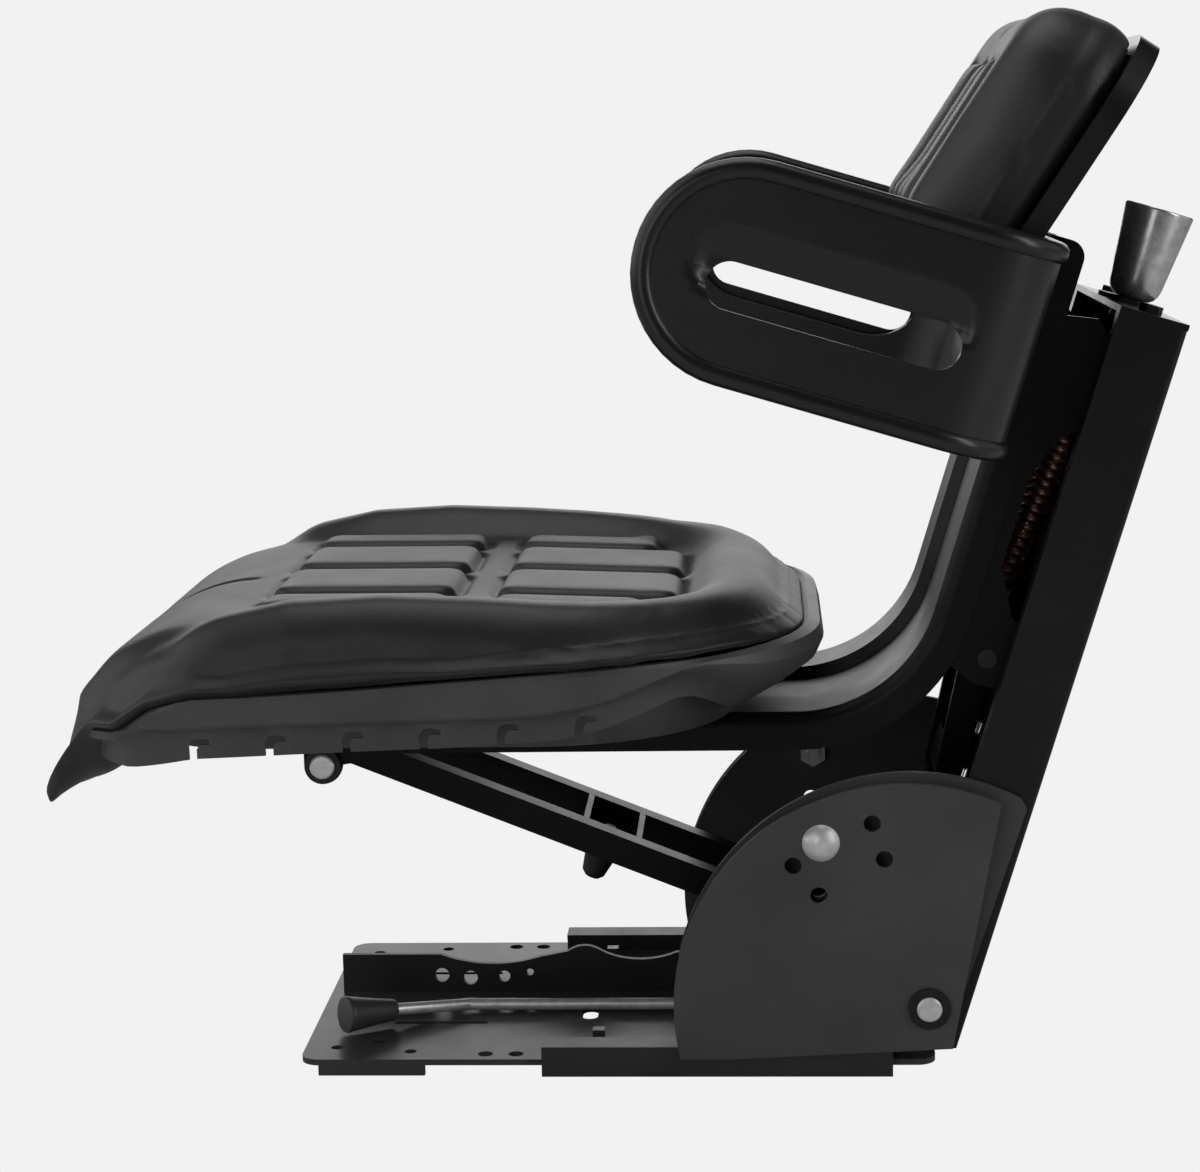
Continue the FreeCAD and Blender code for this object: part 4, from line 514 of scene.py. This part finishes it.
addSpring("wound_spring_left", "spring_left", spring["x"])
addSpring("wound_spring_right", "spring_right", -spring["x"])
print("springs wound")


def roundedBar(x, y, x0, x1, y0, y1, radius):  # distance from a rounded bar's edge, less than 0 inside
    dx = abs(x - (x0 + x1) / 2) - (x1 - x0) / 2 + radius
    dy = abs(y - (y0 + y1) / 2) - (y1 - y0) / 2 + radius
    return math.hypot(max(dx, 0), max(dy, 0)) + min(max(dx, dy), 0) - radius


# Hip band: a flat panel wrapped round a U, with a bead round its rim
band = {
    "half": 0.235, "back": -0.068, "corner": 0.046, "nose": -0.312, "low": 0.354, "height": 0.134,
    "slot": (0.398, 0.426, -0.266, -0.113), "farSlot": (0.386, 0.416, -0.266, -0.113),
    "scoop": (0.450, -0.275, -0.111), "scoopDepth": 0.007, "scoopEdge": 0.007,
    "liningHoles": ((0.390, 0.456, -0.281, -0.107), (0.378, 0.456, -0.281, -0.107)),
    # where the flat panel is cut so that it can bend and take the scoop
    "cornerCuts": 14, "wingCuts": 33, "wingPitch": 0.006, "backCuts": 5, "backPitch": 0.04,
    "beadCuts": 90, "beadTurns": 24,
    "rows": (0.37, 0.38, 0.386, 0.4, 0.414, 0.428, 0.431, 0.434, 0.437, 0.44, 0.443, 0.4465, 0.45, 0.456, 0.47),
}
band["straight"] = band["half"] - band["corner"]
band["arc"] = band["corner"] * math.pi / 2
band["length"] = band["straight"] + band["arc"] + (band["back"] - band["corner"] - band["nose"])


def onBand(run, up, inward):
    side = 1 if run >= 0 else -1
    distance = abs(run)
    if distance <= band["straight"]:
        x, back, normal = distance, band["back"], (0.0, 1.0)
    elif distance <= band["straight"] + band["arc"]:
        turn = (distance - band["straight"]) / band["corner"]
        x = band["straight"] + band["corner"] * math.sin(turn)
        back = band["back"] - band["corner"] + band["corner"] * math.cos(turn)
        normal = (math.sin(turn), math.cos(turn))
    else:
        x = band["half"]
        back = band["back"] - band["corner"] - (distance - band["straight"] - band["arc"])
        normal = (1.0, 0.0)
    x -= normal[0] * inward
    back -= normal[1] * inward
    return onTower(up, back, side * x)


def runAt(back):
    return band["straight"] + band["arc"] + (band["back"] - band["corner"] - back)


def scoopDepth(run, up):  # pressed in above the slot, deepest at its edge
    low, top = band["slot" if run > 0 else "farSlot"][:2]
    high, front, rear = band["scoop"]
    near, far, radius = runAt(rear), runAt(front), (high - low) / 2
    inside = -roundedBar(abs(run), up, near, far, low, high, radius)
    if inside <= 0:
        return 0.0
    return band["scoopDepth"] * ramp(high - up, 0.0, high - top) * ramp(inside, 0.0, band["scoopEdge"])


def stadium(left, right, middle, radius, steps=20):
    points = []
    for step in range(steps + 1):
        turn = -math.pi / 2 + math.pi * step / steps
        points.append((right - radius + radius * math.cos(turn), middle + radius * math.sin(turn)))
    for step in range(steps + 1):
        turn = math.pi / 2 + math.pi * step / steps
        points.append((left + radius + radius * math.cos(turn), middle + radius * math.sin(turn)))
    return points


def wrappedPanel(name, inset, holes, outside, inside, bevel, scooped=False):
    middle = band["low"] + band["height"] / 2
    outline = stadium(-band["length"] + inset, band["length"] - inset, middle, band["height"] / 2 - inset, 28)
    curve = bpy.data.curves.new(name, "CURVE")
    curve.dimensions = "2D"
    curve.fill_mode = "BOTH"
    loops = [outline]
    for side, (low, high, front, rear) in zip((1, -1), holes):
        ends = sorted((side * runAt(rear), side * runAt(front)))
        loops.append(stadium(*ends, (high + low) / 2, (high - low) / 2))
    for loop in loops:
        line = curve.splines.new("POLY")
        line.points.add(len(loop) - 1)
        for point, (run, up) in zip(line.points, loop):
            point.co = (run, up, 0, 1)
        line.use_cyclic_u = True
    piece = bpy.data.objects.new(name, curve)
    bpy.context.collection.objects.link(piece)
    makeActive(piece)
    bpy.ops.object.convert(target="MESH")
    piece = started(name)
    bpy.ops.object.mode_set(mode="EDIT")
    cuts = [band["straight"] + band["arc"] * step / band["cornerCuts"] for step in range(band["cornerCuts"] + 1)]
    cuts += [band["straight"] + band["arc"] + band["wingPitch"] * step for step in range(1, band["wingCuts"])]
    cuts += [band["backPitch"] * step for step in range(1, band["backCuts"])]
    for cut in cuts + [-cut for cut in cuts] + [0.0]:
        bpy.ops.mesh.select_all(action="SELECT")
        bpy.ops.mesh.bisect(plane_co=(cut, 0, 0), plane_no=(1, 0, 0))
    for up in band["rows"]:
        bpy.ops.mesh.select_all(action="SELECT")
        bpy.ops.mesh.bisect(plane_co=(0, up, 0), plane_no=(0, 1, 0))
    bpy.ops.object.mode_set(mode="OBJECT")
    for vertex in piece.data.vertices:
        run, up = vertex.co.x, vertex.co.y
        vertex.co = onBand(run, up, outside + (scoopDepth(run, up) if scooped else 0.0))
    faceOut(piece)
    # the wall grows towards the inside of the U
    outward = sum(face.normal.x * face.center.x * face.area for face in piece.data.polygons)
    wall = piece.modifiers.new("wall", "SOLIDIFY")
    wall.thickness = inside - outside
    wall.offset = -1 if outward > 0 else 1
    rounding = piece.modifiers.new("rounding", "BEVEL")
    rounding.width = bevel
    rounding.segments = 3
    rounding.limit_method = "ANGLE"
    rounding.angle_limit = math.radians(50)
    applyModifiers(piece)
    faceOut(piece)
    smoothPiece(piece, 40)
    return piece


def beadRound(name, inset, inward, radius):
    middle = band["low"] + band["height"] / 2
    corner = band["height"] / 2 - inset
    end = band["length"] - inset - corner
    half = [(-end + 2 * end * step / band["beadCuts"], corner) for step in range(band["beadCuts"] + 1)]
    for step in range(1, band["beadTurns"]):
        turn = math.pi * step / band["beadTurns"]
        half.append((end + corner * math.sin(turn), corner * math.cos(turn)))
    runs = [(sign * run, middle + sign * up) for sign in (1, -1) for run, up in half]
    curve = bpy.data.curves.new(name, "CURVE")
    curve.dimensions = "3D"
    line = curve.splines.new("POLY")
    line.points.add(len(runs) - 1)
    for point, (run, up) in zip(line.points, runs):
        point.co = (*onBand(run, up, inward), 1)
    line.use_cyclic_u = True
    curve.bevel_depth = radius
    curve.bevel_resolution = 4
    piece = bpy.data.objects.new(name, curve)
    bpy.context.collection.objects.link(piece)
    makeActive(piece)
    bpy.ops.object.convert(target="MESH")
    piece = started(name)
    faceOut(piece)
    smoothPiece(piece, 80)
    return piece


shell = wrappedPanel("bandShell", 0.0045, (band["slot"], band["farSlot"]), 0.0, 0.004, 0.0008, scooped=True)
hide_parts("wing_shell")
dress(shell, "shell_plastic", "seat")
lining = wrappedPanel("bandLining", 0.0125, band["liningHoles"], 0.0042, 0.017, 0.004)
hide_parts("wing_lining")
dress(lining, "vinyl", "seat")
bead = beadRound("bandBead", 0.0068, 0.0035, 0.0068)
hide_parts("wing_trim")
dress(bead, "shell_plastic", "seat")
print("hip band wrapped")

# Soft pieces: a box remeshed, shaped, blown up a little as cloth, then its channels pressed in


def roundedDistance(x, y, half, front, rear, frontRadius, rearRadius):
    x = abs(x)
    radius, edge = (frontRadius, y - front) if y < (front + rear) / 2 else (rearRadius, rear - y)
    side = half - x
    if side < radius and edge < radius:
        return radius - math.hypot(radius - side, radius - edge)
    return min(side, edge)


def barRelief(soft, x, y):  # height of the raised bars, with the seams round them pressed in
    raised = seam = 0.0
    for bar in soft["bars"]:
        inside = -roundedBar(abs(x), y, *bar, soft["barCorner"])
        if inside > 0:
            raised = max(raised, soft["barHeight"] * (1 - math.exp(-inside / soft["shoulder"])))
        seam = max(seam, math.exp(-(inside / soft["seam"]) ** 2))
    return raised - soft["seamDepth"] * seam


def voxelBlock(piece, tall, size):
    for vertex in piece.data.vertices:
        vertex.co.z *= tall
    remesh = piece.modifiers.new("voxels", "REMESH")
    remesh.mode = "VOXEL"
    remesh.voxel_size = size
    applyModifiers(piece)


stuffing = {"quality": 5, "mass": 0.3, "tension": 15, "shear": 8, "bending": 2, "frames": 20}


def blowUp(piece, pressure, cap):  # no point moves further than the cap
    rest = [vertex.co.copy() for vertex in piece.data.vertices]
    makeActive(piece)
    modifier = piece.modifiers.new("stuffing", "CLOTH")
    cloth = modifier.settings
    cloth.quality = stuffing["quality"]
    cloth.mass = stuffing["mass"]
    cloth.tension_stiffness = cloth.compression_stiffness = stuffing["tension"]
    cloth.shear_stiffness = stuffing["shear"]
    cloth.bending_stiffness = stuffing["bending"]
    cloth.use_pressure = True
    cloth.uniform_pressure_force = pressure
    cloth.effector_weights.gravity = 0
    modifier.collision_settings.use_collision = False
    scene = bpy.context.scene
    scene.frame_start, scene.frame_end = 1, stuffing["frames"]
    for step in range(1, stuffing["frames"] + 1):
        scene.frame_set(step)
    bpy.ops.object.modifier_apply(modifier=modifier.name)
    scene.frame_set(1)
    for vertex, start in zip(piece.data.vertices, rest):
        move = vertex.co - start
        if move.length > cap:
            vertex.co = start + move * (cap / move.length)


def makeFiner(piece):
    finer = piece.modifiers.new("finer", "SUBSURF")
    finer.levels = finer.render_levels = 1
    applyModifiers(piece)


cushion = {
    "half": 0.2365, "front": -0.3455, "rear": 0.1265, "frontRadius": 0.108, "rearRadius": 0.166,
    "voxel": 0.0045, "pressure": 4.0, "cap": 0.002,
    "floor": [(-0.345, 0.246), (-0.300, 0.251), (-0.277, 0.267), (-0.250, 0.2750), (-0.208, 0.2765), (-0.148, 0.2800),
              (-0.088, 0.2845), (-0.028, 0.2885), (0.032, 0.2910), (0.073, 0.2910), (0.097, 0.2895), (0.130, 0.2860)],
    "flap": [(-0.345, 0.062), (-0.309, 0.036), (-0.290, 0.017), (-0.268, 0.0)],
    "middle": [(-0.350, 0.305), (-0.265, 0.306), (-0.216, 0.309), (-0.090, 0.3085), (0.045, 0.303), (0.056, 0.304),
               (0.072, 0.309), (0.085, 0.3115), (0.100, 0.310), (0.130, 0.305)],
    "crest": [(-0.350, 0.288), (-0.270, 0.303), (-0.232, 0.3167), (-0.190, 0.3257), (-0.132, 0.3285),
              (-0.074, 0.3258), (-0.012, 0.3215), (0.040, 0.3185), (0.072, 0.3185), (0.100, 0.3150), (0.130, 0.3080)],
    # depth, width and power of the edge's fall, where 0 stands for a quarter circle
    "sideDrop": (0.030, 0.040, 0), "frontDrop": (0.047, 0.094, 1.9), "rearDrop": (0.022, 0.042, 0),
    # the bars of one half; the outer ones stop short of the rear bolster
    "bars": [(0.0035, 0.094, -0.222, -0.098), (0.0035, 0.094, -0.075, 0.047),
             (0.101, 0.150, -0.222, -0.098), (0.101, 0.150, -0.075, 0.027)],
    "crease": (-0.302, -0.240), "creaseWidth": 0.0032, "creaseDepth": 0.0032, "barHeight": 0.0068, "barCorner": 0.016,
    "relief": (0.35, 0.7), "reliefFrom": 0.25, "seam": 0.0030, "seamDepth": 0.0034, "shoulder": 0.0042,
    "crestSpan": (0.046, 0.084), "flapFade": (0.145, 0.205), "lip": 0.019, "lipStart": (0.300, 0.335),
    "lipShare": (0.10, 0.46), "tall": 0.06, "thinnest": 0.012,
    "seamPull": 0.010, "footPull": 0.005, "pullReach": 0.04,
}


def flapShare(x):  # the nose's flap fades towards both corners
    return 1 - ramp(abs(x), *cushion["flapFade"])


def cushionFloor(x, y):
    return along(cushion["floor"], y) - along(cushion["flap"], y) * flapShare(x)


def cushionTop(x, y):
    half, front, rear = cushion["half"], cushion["front"], cushion["rear"]
    frontRadius, rearRadius = cushion["frontRadius"], cushion["rearRadius"]
    toSides = roundedDistance(x, y, half, -2.0, rear, 0.1, rearRadius)  # the front is left out
    toAll = roundedDistance(x, y, half, front, rear, frontRadius, rearRadius)
    height = along(cushion["middle"], y)
    height += (along(cushion["crest"], y) - height) * (1 - ramp(toSides, *cushion["crestSpan"]))
    # which way the nearest edge faces: 0 side, 1 front or rear
    radius, edge = (frontRadius, y - front) if y < (front + rear) / 2 else (rearRadius, rear - y)
    side = half - abs(x)
    if side < radius and edge < radius:
        share = (radius - edge) ** 2 / ((radius - side) ** 2 + (radius - edge) ** 2)
    else:
        share = 1.0 if edge < side else 0.0
    for weight, (depth, width, power) in ((1 - share, cushion["sideDrop"]),
                                          (share, cushion["frontDrop" if y < (front + rear) / 2 else "rearDrop"])):
        fall = 1 - toAll / width
        if weight and fall > 0:
            height -= weight * depth * (fall ** power if power else 1 - math.sqrt(max(1 - fall * fall, 0)))
    return height


def channelHeight(x, y):
    start, end = cushion["crease"]
    crease = math.exp(-(x / cushion["creaseWidth"]) ** 2)
    crease *= ramp(y, start, start + 0.02) * (1 - ramp(y, end - 0.012, end))
    return barRelief(cushion, x, y) - cushion["creaseDepth"] * crease


def addCushion():
    half, front, rear = cushion["half"], cushion["front"], cushion["rear"]
    frontRadius, rearRadius = cushion["frontRadius"], cushion["rearRadius"]
    middle = (front + rear) / 2
    piece = roundedBox("seatCushion", half, front, rear, frontRadius, rearRadius)
    voxelBlock(piece, cushion["tall"], cushion["voxel"])
    for vertex in piece.data.vertices:
        x, y, z = vertex.co
        share = min(max(z / cushion["tall"], 0), 1)
        floor = cushionFloor(x, y)
        top = max(cushionTop(x, y), floor + cushion["thinnest"])
        toEdge = roundedDistance(x, y, half, front, rear, frontRadius, rearRadius)
        # the side wall is widest low down and turns in at the seam
        pull = cushion["seamPull"] * ramp(share, 0.35, 1.0) + cushion["footPull"] * ramp(1 - share, 0.7, 1.0)
        pull *= 1 - ramp(toEdge, 0.0, cushion["pullReach"])
        away = Vector((x, y - middle))
        if away.length > 1e-6:
            x -= away.x / away.length * pull
            y -= away.y / away.length * pull
        # the nose ends in a lip that turns out over the pan
        y -= cushion["lip"] * flapShare(x) * ramp(-y, *cushion["lipStart"]) * (1 - ramp(share, *cushion["lipShare"]))
        vertex.co = (x, y, floor + (top - floor) * share)
    blowUp(piece, cushion["pressure"], cushion["cap"])
    makeFiner(piece)
    facings = [vertex.normal.z for vertex in piece.data.vertices]
    for vertex, facing in zip(piece.data.vertices, facings):
        x, y, z = vertex.co
        if z > cushion["reliefFrom"]:
            vertex.co.z += channelHeight(x, y) * ramp(facing, *cushion["relief"])
    smoothPiece(piece, 80)
    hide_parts("cushion")
    dress(piece, "vinyl", "seat")


pan = {
    "half": 0.2365, "front": -0.3405, "rear": 0.1265, "frontRadius": 0.105, "rearRadius": 0.166, "wall": 0.0024,
    "well": 0.047, "wellTop": 0.2745,
    "step": [(-0.300, 0.252), (-0.200, 0.256), (-0.050, 0.259), (0.000, 0.265), (0.050, 0.281), (0.100, 0.289)],
    "foot": [(-0.300, 0.226), (-0.250, 0.235), (-0.149, 0.239), (-0.089, 0.241), (-0.023, 0.245), (0.013, 0.252),
             (0.055, 0.266), (0.100, 0.272)],
    "rearRoll": [(-0.047, 0.2745), (-0.007, 0.2875), (0.002, 0.2925), (0.0090, 0.2900), (0.0115, 0.2810),
                 (0.007, 0.2710), (-0.012, 0.2570), (-0.030, 0.2460)],
    "rearBlend": (0.050, 0.112), "wellEdge": 0.043,
    "rowCuts": 16, "rowPitch": 0.0125, "columns": (-0.09, -0.045, 0.0, 0.045, 0.09),
    "notches": 6, "notchFirst": -0.250, "notchPitch": 0.047, "notchFrom": 0.205, "notchDepth": 0.05,
    # in millimetres from the notch's front and the skirt's foot
    "notch": [(0, -8), (0, 8), (2, 12), (7, 13), (13, 12), (13, 9), (7, 9), (5, 6), (5, -8)],
}


def panProfile(y):  # distance outwards and height, from the well's edge round the rim to the foot
    rim, step, foot = along(cushion["floor"], y) - 0.0008, along(pan["step"], y), along(pan["foot"], y)
    step, foot = min(step, rim - 0.006), min(foot, rim - 0.016)
    side = [(-pan["well"], pan["wellTop"]), (-0.008, rim - 0.0004), (-0.0055, rim - 0.0010), (-0.0045, rim - 0.0035),
            (-0.0045, step + 0.003), (-0.0065, step + 0.0004), (-0.0135, step - 0.0012), (-0.0145, foot)]
    share = ramp(y, *pan["rearBlend"])
    return [(d0 + (d1 - d0) * share, z0 + (z1 - z0) * share) for (d0, z0), (d1, z1) in zip(side, pan["rearRoll"])]


def outwardAt(x, y):  # the outline's own direction in plan
    half, front, rear = pan["half"], pan["front"], pan["rear"]
    middle = (front + rear) / 2
    if y < middle:
        radius, centre = pan["frontRadius"], front + pan["frontRadius"]
    else:
        radius, centre = pan["rearRadius"], rear - pan["rearRadius"]
    ahead = y - centre if abs(y - middle) > abs(centre - middle) else 0.0
    aside = max(abs(x) - (half - radius), 0.0)
    if aside < 1e-6 and abs(ahead) < 1e-6:
        aside = 1.0
    if ahead and abs(abs(ahead) - radius) < 1e-5:
        aside = 0.0
    if abs(abs(x) - half) < 1e-5:
        ahead = 0.0
    return Vector((math.copysign(aside, x), ahead, 0)).normalized()


def addPan():
    half, front, rear = pan["half"], pan["front"], pan["rear"]
    piece = roundedBox("panMoulded", half, front, rear, pan["frontRadius"], pan["rearRadius"])
    bpy.ops.object.mode_set(mode="EDIT")
    bpy.ops.mesh.select_mode(type="FACE")
    bpy.ops.mesh.select_all(action="DESELECT")
    mesh = bmesh.from_edit_mesh(piece.data)
    for face in mesh.faces:
        face.select_set(abs(face.normal.z) > 0.9)
    bpy.ops.mesh.delete(type="ONLY_FACE")
    straight = front + pan["frontRadius"]
    cuts = [((0, straight + pan["rowPitch"] * step, 0), (0, 1, 0)) for step in range(1, pan["rowCuts"])]
    cuts += [((x, 0, 0), (1, 0, 0)) for x in pan["columns"]]
    rows = len(pan["rearRoll"]) - 1
    cuts += [((0, 0, row / rows), (0, 0, 1)) for row in range(1, rows)]
    for place, facing in cuts:
        bpy.ops.mesh.select_all(action="SELECT")
        bpy.ops.mesh.bisect(plane_co=place, plane_no=facing)
    bpy.ops.object.mode_set(mode="OBJECT")
    for vertex in piece.data.vertices:
        x, y, z = vertex.co
        reach, height = panProfile(y)[rows - round(z * rows)]
        out = outwardAt(x, y)
        vertex.co = (x + out.x * reach, y + out.y * reach, height)
    faceOut(piece)
    wall = piece.modifiers.new("wall", "SOLIDIFY")
    wall.thickness = pan["wall"]
    wall.offset = -1
    applyModifiers(piece)
    cutters = []
    for place in range(pan["notches"]):
        y = pan["notchFirst"] + place * pan["notchPitch"]
        foot = along(pan["foot"], y)
        for side in (-1, 1):
            deselectAll()
            bpy.ops.mesh.primitive_circle_add(vertices=len(pan["notch"]), radius=1, fill_type="NGON")
            cutter = started("notchCutter")
            for vertex, (dy, dz) in zip(cutter.data.vertices, pan["notch"]):
                vertex.co = (side * pan["notchFrom"], y + dy / 1000, foot + dz / 1000)
            bpy.ops.object.mode_set(mode="EDIT")
            bpy.ops.mesh.select_all(action="SELECT")
            bpy.ops.mesh.extrude_region_move(TRANSFORM_OT_translate={"value": (side * pan["notchDepth"], 0, 0)})
            bpy.ops.object.mode_set(mode="OBJECT")
            faceOut(cutter)
            cutters.append(cutter)
    deselectAll()
    for cutter in cutters:
        cutter.select_set(True)
    bpy.context.view_layer.objects.active = cutters[0]
    bpy.ops.object.join()
    cutter = bpy.context.active_object
    cut = piece.modifiers.new("notches", "BOOLEAN")
    cut.operation = "DIFFERENCE"
    cut.object = cutter
    cut.solver = "EXACT"
    applyModifiers(piece)
    bpy.data.objects.remove(cutter)
    # the tray's well stays as in the CAD model
    makeActive(frame["nodes"]["seat_pan"])
    bpy.ops.object.duplicate()
    well = bpy.context.active_object
    well.name = "panWell"
    applyPlace(well)
    faceOut(well)
    bpy.ops.object.mode_set(mode="EDIT")
    bpy.ops.mesh.select_mode(type="VERT")
    bpy.ops.mesh.select_all(action="DESELECT")
    mesh = bmesh.from_edit_mesh(well.data)
    for vertex in mesh.verts:
        x, y, z = vertex.co
        inside = roundedDistance(x, y, half, front, rear, pan["frontRadius"], pan["rearRadius"])
        vertex.select_set(inside < pan["wellEdge"])
    bmesh.update_edit_mesh(well.data)
    bpy.ops.mesh.delete(type="VERT")
    bpy.ops.object.mode_set(mode="OBJECT")
    deselectAll()
    well.select_set(True)
    piece.select_set(True)
    bpy.context.view_layer.objects.active = piece
    bpy.ops.object.join()
    smoothPiece(piece, 32)
    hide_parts("seat_pan")
    dress(piece, "pan_plastic", "seat")


addPan()
print("pan moulded")

addCushion()
print("cushion stuffed")

back = {
    "lean": 33.5, "y": 0.274, "z": 0.543, "half": 0.149, "low": -0.058, "high": 0.1225, "corner": 0.050,
    "shell": 0.0145, "front": 0.0765, "voxel": 0.0048, "cap": 0.0025, "pressure": 4.0, "lowCorner": 0.024,
    "edge": 0.034, "dish": 0.004, "bulge": 0.004, "gap": 0.0005,
    "bars": [(0.003, 0.046, -0.045, 0.072), (0.052, 0.098, -0.045, 0.072)],  # of one half
    "barCorner": 0.012, "barHeight": 0.004, "shoulder": 0.008, "seam": 0.0027, "seamDepth": 0.0022,
    "relief": (0.4, 0.75),
}
backSin = math.sin(math.radians(back["lean"]))
backCos = math.cos(math.radians(back["lean"]))


def onBack(x, up, behind):
    return Vector((x, back["y"] + up * backSin + behind * backCos, back["z"] + up * backCos - behind * backSin))


def addBackPad():
    half, low, high = back["half"], back["low"], back["high"]
    depth, middle = back["front"] - back["shell"], (low + high) / 2
    piece = roundedBox("backCushion", half, low, high, back["lowCorner"], back["corner"])
    voxelBlock(piece, depth, back["voxel"])
    for vertex in piece.data.vertices:
        x, up, z = vertex.co
        share = min(max(z / depth, 0), 1)
        toEdge = roundedDistance(x, up, half, low, high, back["lowCorner"], back["corner"])
        fall = max(1 - toEdge / back["edge"], 0)
        drop = back["edge"] * (1 - math.sqrt(max(1 - fall * fall, 0)))
        dish = back["dish"] * (1 - ramp(abs(x), 0.03, 0.11)) * ramp(toEdge, 0.02, 0.06)
        tall = depth - drop - dish
        bulge = back["bulge"] * math.sin(math.pi * min(share * 1.1, 1)) * (1 - ramp(toEdge, 0.0, 0.02))
        scale = 1 + bulge / half
        behind = -(back["shell"] + back["gap"]) - tall * share
        vertex.co = onBack(x * scale, middle + (up - middle) * scale, behind)
    blowUp(piece, back["pressure"], back["cap"])
    makeFiner(piece)
    origin = onBack(0, 0, 0)
    ahead, rise = onBack(0, 0, -1) - origin, onBack(0, 1, 0) - origin
    facings = [vertex.normal.dot(ahead) for vertex in piece.data.vertices]
    for vertex, facing in zip(piece.data.vertices, facings):
        up = (vertex.co - origin).dot(rise)
        vertex.co += ahead * barRelief(back, vertex.co.x, up) * ramp(facing, *back["relief"])
    smoothPiece(piece, 80)
    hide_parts("back_pad")
    dress(piece, "vinyl", "seat")


addBackPad()
print("back pad stuffed")

grip = {
    "wrist": (0.055, -0.150, 0.021), "tip": (0.079, -0.1845, 0.025), "from": 0.004,
    "rings": [(0.0055, 0.0), (0.0068, 0.0004), (0.0073, 0.002), (0.0082, 0.010), (0.0103, 0.024), (0.0118, 0.0335),
              (0.0123, 0.0360), (0.0118, 0.0375), (0.0100, 0.0380), (0.004, 0.0380)],
}


def addGrip():
    wrist, tip = Vector(grip["wrist"]), Vector(grip["tip"])
    direction = (tip - wrist).normalized()
    piece = turnedPiece("leverGripFlared", grip["rings"], wrist + direction * grip["from"], direction, 40)
    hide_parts("lever_grip")
    dress(piece, "grip_plastic", "lever")


addGrip()
print("grip turned")
